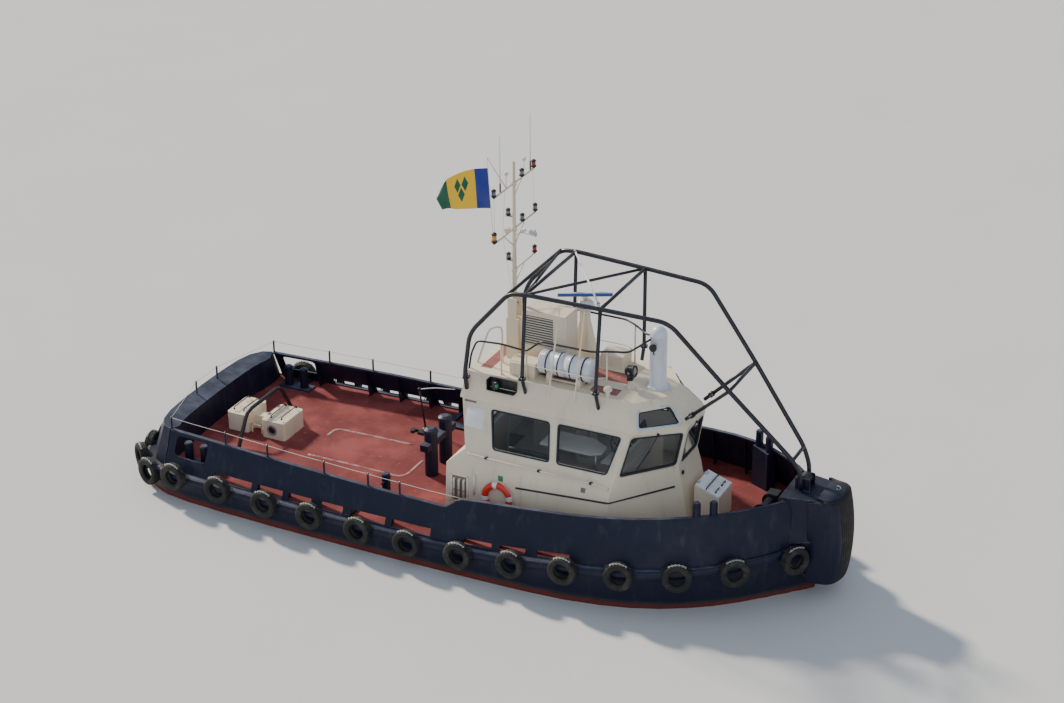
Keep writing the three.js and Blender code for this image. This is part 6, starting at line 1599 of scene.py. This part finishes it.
def build_wall_fittings():
    """Bottles in a recess, a tube beside it and plates on the walls; the dark plates are painted shade."""
    fittings = Piece("house_wall_fittings", slot="house_paint")
    collar = [(0.026, -0.012), (0.04, -0.012), (0.04, 0.012), (0.026, 0.012)]
    for side in (PORT, STARBOARD):
        for plate in RECESS_PLATES:
            wall_plate(fittings, plate, side)
        for x in BOTTLES_X:
            foot, head = side_point(x, 1.28, side), side_point(x, 1.78, side)
            normal = side_outward(x, 1.5, side)
            bottle = [foot + normal * 0.04, head + normal * 0.04, head - normal * 0.02]
            fittings.tube(bottle, 0.026, cream_paint, 0.05, 14)
            fittings.lathe(collar, foot.lerp(head, 0.55) + normal * 0.04, UP, grey_plastic, 16, closed=True)
        foot, head = side_point(TUBE_X, 1.51, side), side_point(TUBE_X, 1.99, side)
        normal = side_outward(TUBE_X, 1.7, side)
        fittings.rod(foot + normal * 0.045, head + normal * 0.045, 0.02, white_paint, 14)
        for share in (0.12, 0.88):
            at = foot.lerp(head, share)
            fittings.rod(at, at + normal * 0.06, 0.012, white_paint, 8)
    for plate in STARBOARD_PLATES:
        wall_plate(fittings, plate, STARBOARD)
    # Dark strips of painted shade for the slots of the grille
    for z in spread(2.145, 2.211, 3):
        wall_plate(fittings, (2.96, 3.05, z, z + 0.009, 0.016, painted_shade), STARBOARD, 0.0)
    knob = [(0, 0), (0.05, 0), (0.05, 0.02), (0.03, 0.035), (0, 0.035)]
    fittings.lathe(knob, wall_point(FRONT_WALL, 0.12, 2.3, STARBOARD), FORWARD, black_paint, 20)
    fittings.done()


def build_door_fittings():
    """A lock with its lever, a dark pane, three hinges and a kick plate."""
    low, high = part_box("house_door")
    fittings = Piece("door_fittings", "door", slot="deck_gear")
    face = low.x
    lock = Vector((face, low.y + 0.09, DOOR_LOCK_Z))
    rose = [(0, 0), (0.032, 0), (0.032, 0.012), (0.018, 0.02), (0.018, 0.04), (0, 0.04)]
    fittings.lathe(rose, lock, (-1, 0, 0), steel, 20)
    lever = [lock + Vector((x, y, 0)) for x, y in ((-0.035, 0), (-0.045, 0.02), (-0.045, 0.15))]
    fittings.tube(lever, 0.010, steel, 0.02, 10)
    pane = [Vector((face, (low.y + high.y) / 2 + y, z)) for y, z in DOOR_PANE]
    frame_round(fittings, pane, WINDOW_CORNER, DOOR_PANE_FORM)
    outline = [p - FORWARD * 0.001 for p in rounded(pane, WINDOW_CORNER)]
    fittings.plate(outline, (-0.005, 0, 0), dark_glass)
    for z in DOOR_HINGES_Z:
        hinge = (face - 0.012, high.y - 0.10, z - 0.03), (face + 0.002, high.y - 0.01, z + 0.03)
        fittings.box(*hinge, steel, 0.003)
    kick = (face - 0.004, low.y + 0.05, low.z + 0.03), (face + 0.002, high.y - 0.05, low.z + 0.28)
    fittings.box(*kick, steel, 0.002)
    fittings.done()


CABIN_BOXES = [
    # low corner, high corner, finish, width of the softened edges
    ((3.0, -0.95, 2.382), (3.36, 0.95, 2.41), pale_panel, 0.01),
    ((0.55, 0.78, 1.432), (1.95, 1.2, 2.28), lining, 0.01),
    ((0.52, 0.75, 2.28), (1.98, 1.2, 2.32), pale_panel, 0.008),
    ((0.9, -1.2, 1.432), (2.0, -0.8, 1.84), lining, 0.01),
    ((0.9, -1.2, 1.85), (2.0, -0.78, 1.96), seat_vinyl, 0.045),
    ((0.9, -1.19, 1.98), (2.0, -1.10, 2.42), seat_vinyl, 0.035),
    ((0.45, -0.9, 3.82), (3.3, 0.9, 3.84), pale_panel, 0.006),
]
CABIN_RODS = [
    # one end, other end, radius, finish, sides
    ((2.94, 0, 2.36), (3.02, 0, 2.33), 0.025, black_paint, 14),
    ((1.75, -0.6, 1.43), (1.75, -0.6, 2.5), 0.03, steel, 12),
    ((2.75, -0.65, 1.43), (2.75, -0.65, 2.5), 0.03, steel, 12),
    ((0.8, -0.4, 3.74), (3.2, -0.4, 3.74), 0.014, steel, 10),
    ((0.8, -0.4, 3.74), (0.8, -0.4, 3.825), 0.01, steel, 8),
    ((2.0, -0.4, 3.74), (2.0, -0.4, 3.825), 0.01, steel, 8),
    ((3.2, -0.4, 3.74), (3.2, -0.4, 3.825), 0.01, steel, 8),
]
SCREENS_Y = (-0.62, -0.2, 0.24, 0.66)
WHEEL = {"x": 2.93, "z": 2.36, "radius": 0.21, "spokes": (0.5, 2.6, 4.7)}
LEVERS_Y = (-0.36, 0.4)
TABLE_OUTLINE = [(1.55, -0.95), (1.55, -0.25), (2.55, -0.25), (2.95, -0.5), (2.95, -0.8), (2.75, -0.95)]


def build_cabin():
    """Helm gear, seats and lockers that show through the glass."""
    cabin = Piece("cabin_fitout", slot="cabin_lining")
    for low, high, finish, bevel in CABIN_BOXES:
        cabin.box(low, high, finish, bevel)
    for start, end, radius, finish, sides in CABIN_RODS:
        cabin.rod(start, end, radius, finish, sides)
    for y in SCREENS_Y:
        lean = Matrix.Translation((3.27, y, 2.55)) @ Matrix.Rotation(-0.25, 4, "Y")
        cabin.box((-0.02, -0.17, -0.12), (0.02, 0.17, 0.12), black_paint, 0.01, lean)
        cabin.box((-0.026, -0.15, -0.1), (-0.019, 0.15, 0.1), dark_glass, 0.002, lean)
        cabin.rod((3.27, y, 2.40), (3.27, y, 2.47), 0.02, black_paint, 10)
    x, z = WHEEL["x"], WHEEL["z"]
    cabin.tube(ring_points((x, 0.0, z), (1, 0, 0.35), WHEEL["radius"], 28), 0.014, black_paint, 0, 10, True)
    for angle in WHEEL["spokes"]:
        end = (x - 0.07 * sin(angle), 0.2 * cos(angle), z + 0.19 * sin(angle))
        cabin.rod((x + 0.01, 0, z), end, 0.01, steel, 8)
    knob = [(0, -0.02), (0.018, -0.012), (0.018, 0.012), (0, 0.02)]
    for y in LEVERS_Y:
        cabin.block((3.07, y), (0.07, 0.06), 2.408, 2.46, grey_plastic, 0.008)
        cabin.rod((3.07, y, 2.45), (3.05, y, 2.58), 0.008, steel, 8)
        cabin.lathe(knob, (3.05, y, 2.59), UP, black_paint, 12)
    cabin.plate([(x, y, 2.5) for x, y in TABLE_OUTLINE], (0, 0, 0.05), white_paint, 0.008)
    cabin.done()


# Deck fittings

def hull_tree():
    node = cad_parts["hull"]
    points = [node.matrix_world @ v.co for v in node.data.vertices]
    return BVHTree.FromPolygons(points, [tuple(p.vertices) for p in node.data.polygons])


HULL_TREE = hull_tree()


def deck_height(x, y):
    """Height of the hull's top surface at a place."""
    return HULL_TREE.ray_cast(Vector((x, y, 1.7)), -UP)[0].z


def flat_section(half, low, high):
    return [(-half, low), (half, low), (half, high), (-half, high)]


def build_deck_lines():
    lines = Piece("deck_worn_lines", slot="hull_paint")
    for route in DECK_LINES:
        corners = bent([(x, y, 0) for x, y in route], 0.3)
        path = []
        for a, b in zip(corners, corners[1:]):
            path += [a.lerp(b, t) for t in spread(0, 1, max(1, round((b - a).length / 0.2)))[:-1]]
        path = [Vector((p.x, p.y, deck_height(p.x, p.y) + 0.004)) for p in path + corners[-1:]]
        lines.rings(carried(path, flat_section(0.038, -0.008, 0.002)), worn_line)
    lines.done()


def add_wire(piece, a, b, sag):
    path = [a.lerp(b, t) - UP * sag * sin(pi * t) for t in spread(0, 1, 8)]
    piece.tube(path, GUARD_WIRE["radius"], rope_white, 0, 6)


def over_rail(x, side, rise):
    half, z = rail_edge(x)
    return Vector((x, side * (half - GUARD_WIRE["inset"]), z + rise))


def build_wires():
    wires = Piece("guard_wires", slot="deck_gear")
    for side in (PORT, STARBOARD):
        heads = [over_rail(x, side, GUARD_WIRE["height"]) for x in STANCHIONS_X]
        anchor = over_rail(GUARD_WIRE["fore_x"], side, 0.008)
        stops = [mirror(GUARD_WIRE["stern"], side)] + heads + [anchor]
        for a, b in zip(stops, stops[1:]):
            add_wire(wires, a, b, 0.007 * (b - a).length)
        for head in heads:
            wires.tube(ring_points(head, FORWARD, 0.028, 14), GUARD_WIRE["radius"], steel, 0, 6, True)
    add_wire(wires, mirror(GUARD_WIRE["stern"], STARBOARD), mirror(GUARD_WIRE["stern"], PORT), 0.01)
    wires.done()


def build_rope_post():
    post = Piece("deck_rope_post", slot="deck_gear")
    x, y = ROPE_POST["foot"]
    foot, head = Vector((x, y, deck_height(x, y))), Vector(ROPE_POST["head"])
    post.rod(foot, head, 0.022, black_paint, 12)
    post.lathe([(0, 0), (0.09, 0), (0.09, 0.012), (0.03, 0.02), (0, 0.02)], foot, UP, black_paint, 20)
    post.tube([head] + ROPE_POST["arm"], 0.012, white_paint, 0.1, 10)
    post.disc(head, UP, 0.035, -0.04, 0.03, black_paint, 14)
    post.done()


def bar_handle(piece, a, b, rise, radius):
    a, b = Vector(a), Vector(b)
    piece.tube([a, a + rise, b + rise, b], radius, black_paint, 0.03, 10)
    for end in (a, b):
        piece.disc(end, rise, radius * 2.4, 0, 0.006, black_paint, 14)


def build_aft_lid_handles():
    for name, body, bars_x, hinges_x in AFT_LIDS:
        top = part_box(name)[1].z
        handles = Piece(f"{name}_handles", body)
        for x in bars_x:
            bar_handle(handles, (x, -0.33, top - 0.004), (x, 0.33, top - 0.004), UP * 0.05, 0.012)
        for y in (-0.2, 0.2):
            handles.block((hinges_x, y), (0.035, 0.05), top - 0.004, top + 0.014, steel, 0.004)
        handles.done()


def build_aft_box_fittings():
    fittings = Piece("aft_box_fittings", slot="deck_gear")
    rim = [(0.085, 0), (0.13, 0), (0.13, 0.016), (0.12, 0.022), (0.095, 0.022), (0.085, 0.014)]
    fittings.lathe(rim, AFT_BOX_PORT, (0, -1, 0), grey_plastic, 32, closed=True)
    fittings.disc(AFT_BOX_PORT, (0, -1, 0), 0.09, 0.001, 0.006, black_paint, 28)
    for low, high in AFT_BOX_BARS:
        fittings.box(low, high, cream_paint, 0.005)
    fittings.done()


def build_fore_lid_handles():
    handles = Piece("fore_lid_handles", "fore_lid")
    low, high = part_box("hatch_fore_lid")
    slope = (FORE_LID["fore_top"] - FORE_LID["aft_top"]) / (FORE_LID["fore_x"] - FORE_LID["aft_x"])
    rise = Vector((-slope, 0, 1)).normalized()
    for x, y0, y1, height, radius in FORE_LID_BARS:
        top = FORE_LID["aft_top"] + slope * (x - FORE_LID["aft_x"]) - 0.004
        bar_handle(handles, (x, y0, top), (x, y1, top), rise * height, radius)
    for y in (-0.22, 0.22):
        handles.block((low.x + 0.015, y), (0.035, 0.06), high.z - 0.03, high.z + 0.008, steel, 0.006)
    handles.done()


def build_anodes():
    anodes = Piece("zinc_anodes", slot="underwater_steel")
    for side in (PORT, STARBOARD):
        for x in ANODES_X:
            anodes.block((x, side * 0.0855), (0.16, 0.0195), -2.0, -1.92, zinc, 0.012)
    anodes.done()


# The floor at the waterline, the light and the camera

LIGHTS = [
    # name, direction of travel, strength, angle of the disc, colour
    ("key_from_aft_port", (0.82, -0.30, -0.62), 5.0, 5.0, (1.0, 0.89, 0.73)),
    ("fill_from_camera", (-0.35, 0.75, -0.55), 0.5, 50.0, (0.92, 0.95, 1.0)),
]
ROOM_LIGHT = {"colour": (0.74, 0.85, 1.0, 1.0), "strength": 0.55}
FLOOR_HALF = 150.0


def build_stage():
    half = FLOOR_HALF
    mesh = bpy.data.meshes.new("waterline_floor")
    corners = [(-half, -half, 0), (half, -half, 0), (half, half, 0), (-half, half, 0)]
    mesh.from_pydata(corners, [], [(0, 1, 2, 3)])
    f = Finish("pale_floor", 0.85)
    f.colour(f.mix(f.noise(0.3, 3), (0.60, 0.61, 0.62), (0.66, 0.67, 0.68)))
    mesh.materials.append(f.material)
    floor = bpy.data.objects.new("waterline_floor", mesh)
    bpy.context.scene.collection.objects.link(floor)


def build_light():
    world = bpy.data.worlds.new("soft_room")
    world.use_nodes = True
    background = world.node_tree.nodes["Background"]
    background.inputs["Color"].default_value = ROOM_LIGHT["colour"]
    background.inputs["Strength"].default_value = ROOM_LIGHT["strength"]
    bpy.context.scene.world = world
    for name, travel, energy, angle, colour in LIGHTS:
        data = bpy.data.lights.new(name, "SUN")
        data.energy = energy
        data.angle = radians(angle)
        data.color = colour
        light = bpy.data.objects.new(name, data)
        light.rotation_euler = Vector(travel).to_track_quat("-Z", "Y").to_euler()
        bpy.context.scene.collection.objects.link(light)


def build_camera():
    a, e, r = (radians(CAMERA[key]) for key in ("azimuth", "elevation", "roll"))
    back = Vector((sin(a) * cos(e), -cos(a) * cos(e), sin(e)))
    right = Vector((cos(a), sin(a), 0))
    up = back.cross(right)
    tilted_right = right * cos(r) + up * sin(r)
    tilted_up = up * cos(r) - right * sin(r)
    data = bpy.data.cameras.new("camera")
    data.sensor_fit = "HORIZONTAL"
    data.sensor_width = SENSOR
    data.lens = FOCAL_PIXELS / PICTURE_WIDTH * SENSOR
    data.clip_end = 500.0
    camera = bpy.data.objects.new("camera", data)
    turn = Matrix((tilted_right, tilted_up, back)).transposed().to_4x4()
    camera.matrix_world = Matrix.Translation(CAMERA["place"]) @ turn
    bpy.context.scene.collection.objects.link(camera)
    bpy.context.scene.camera = camera


for names, finish, edge, width in DRESSED:
    for name in names:
        dress(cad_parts[name], finish, edge, width)
build_camera()
build_stage()
build_light()
for word, side in SIDES:
    belt = edge_rings(belting_section(), BELTING["aft_x"], BELTING["fore_x"], side)
    build_belting(word, belt, side_seats(side), SEED)
    build_cage(word, side)
    build_roof_rail(word, side)
    build_handrail(word, side)
    build_rubbing_strip(word, side)
    build_sheer_strip(word, side)
build_belting("stern", stern_rings(), stern_seats(), SEED + 1)
build_bow_fender()
build_mast()
build_flag()
build_radar()
build_raft()
build_vent()
build_searchlight()
build_lifebuoy()
build_window_frames()
build_wipers()
build_wall_fittings()
build_door_fittings()
build_cabin()
build_deck_lines()
build_wires()
build_rope_post()
build_aft_lid_handles()
build_aft_box_fittings()
build_fore_lid_handles()
build_bow_plates()
build_mast_fittings()
build_sidelight_lenses()
build_raft_cradle()
build_cage_rod()
build_anodes()
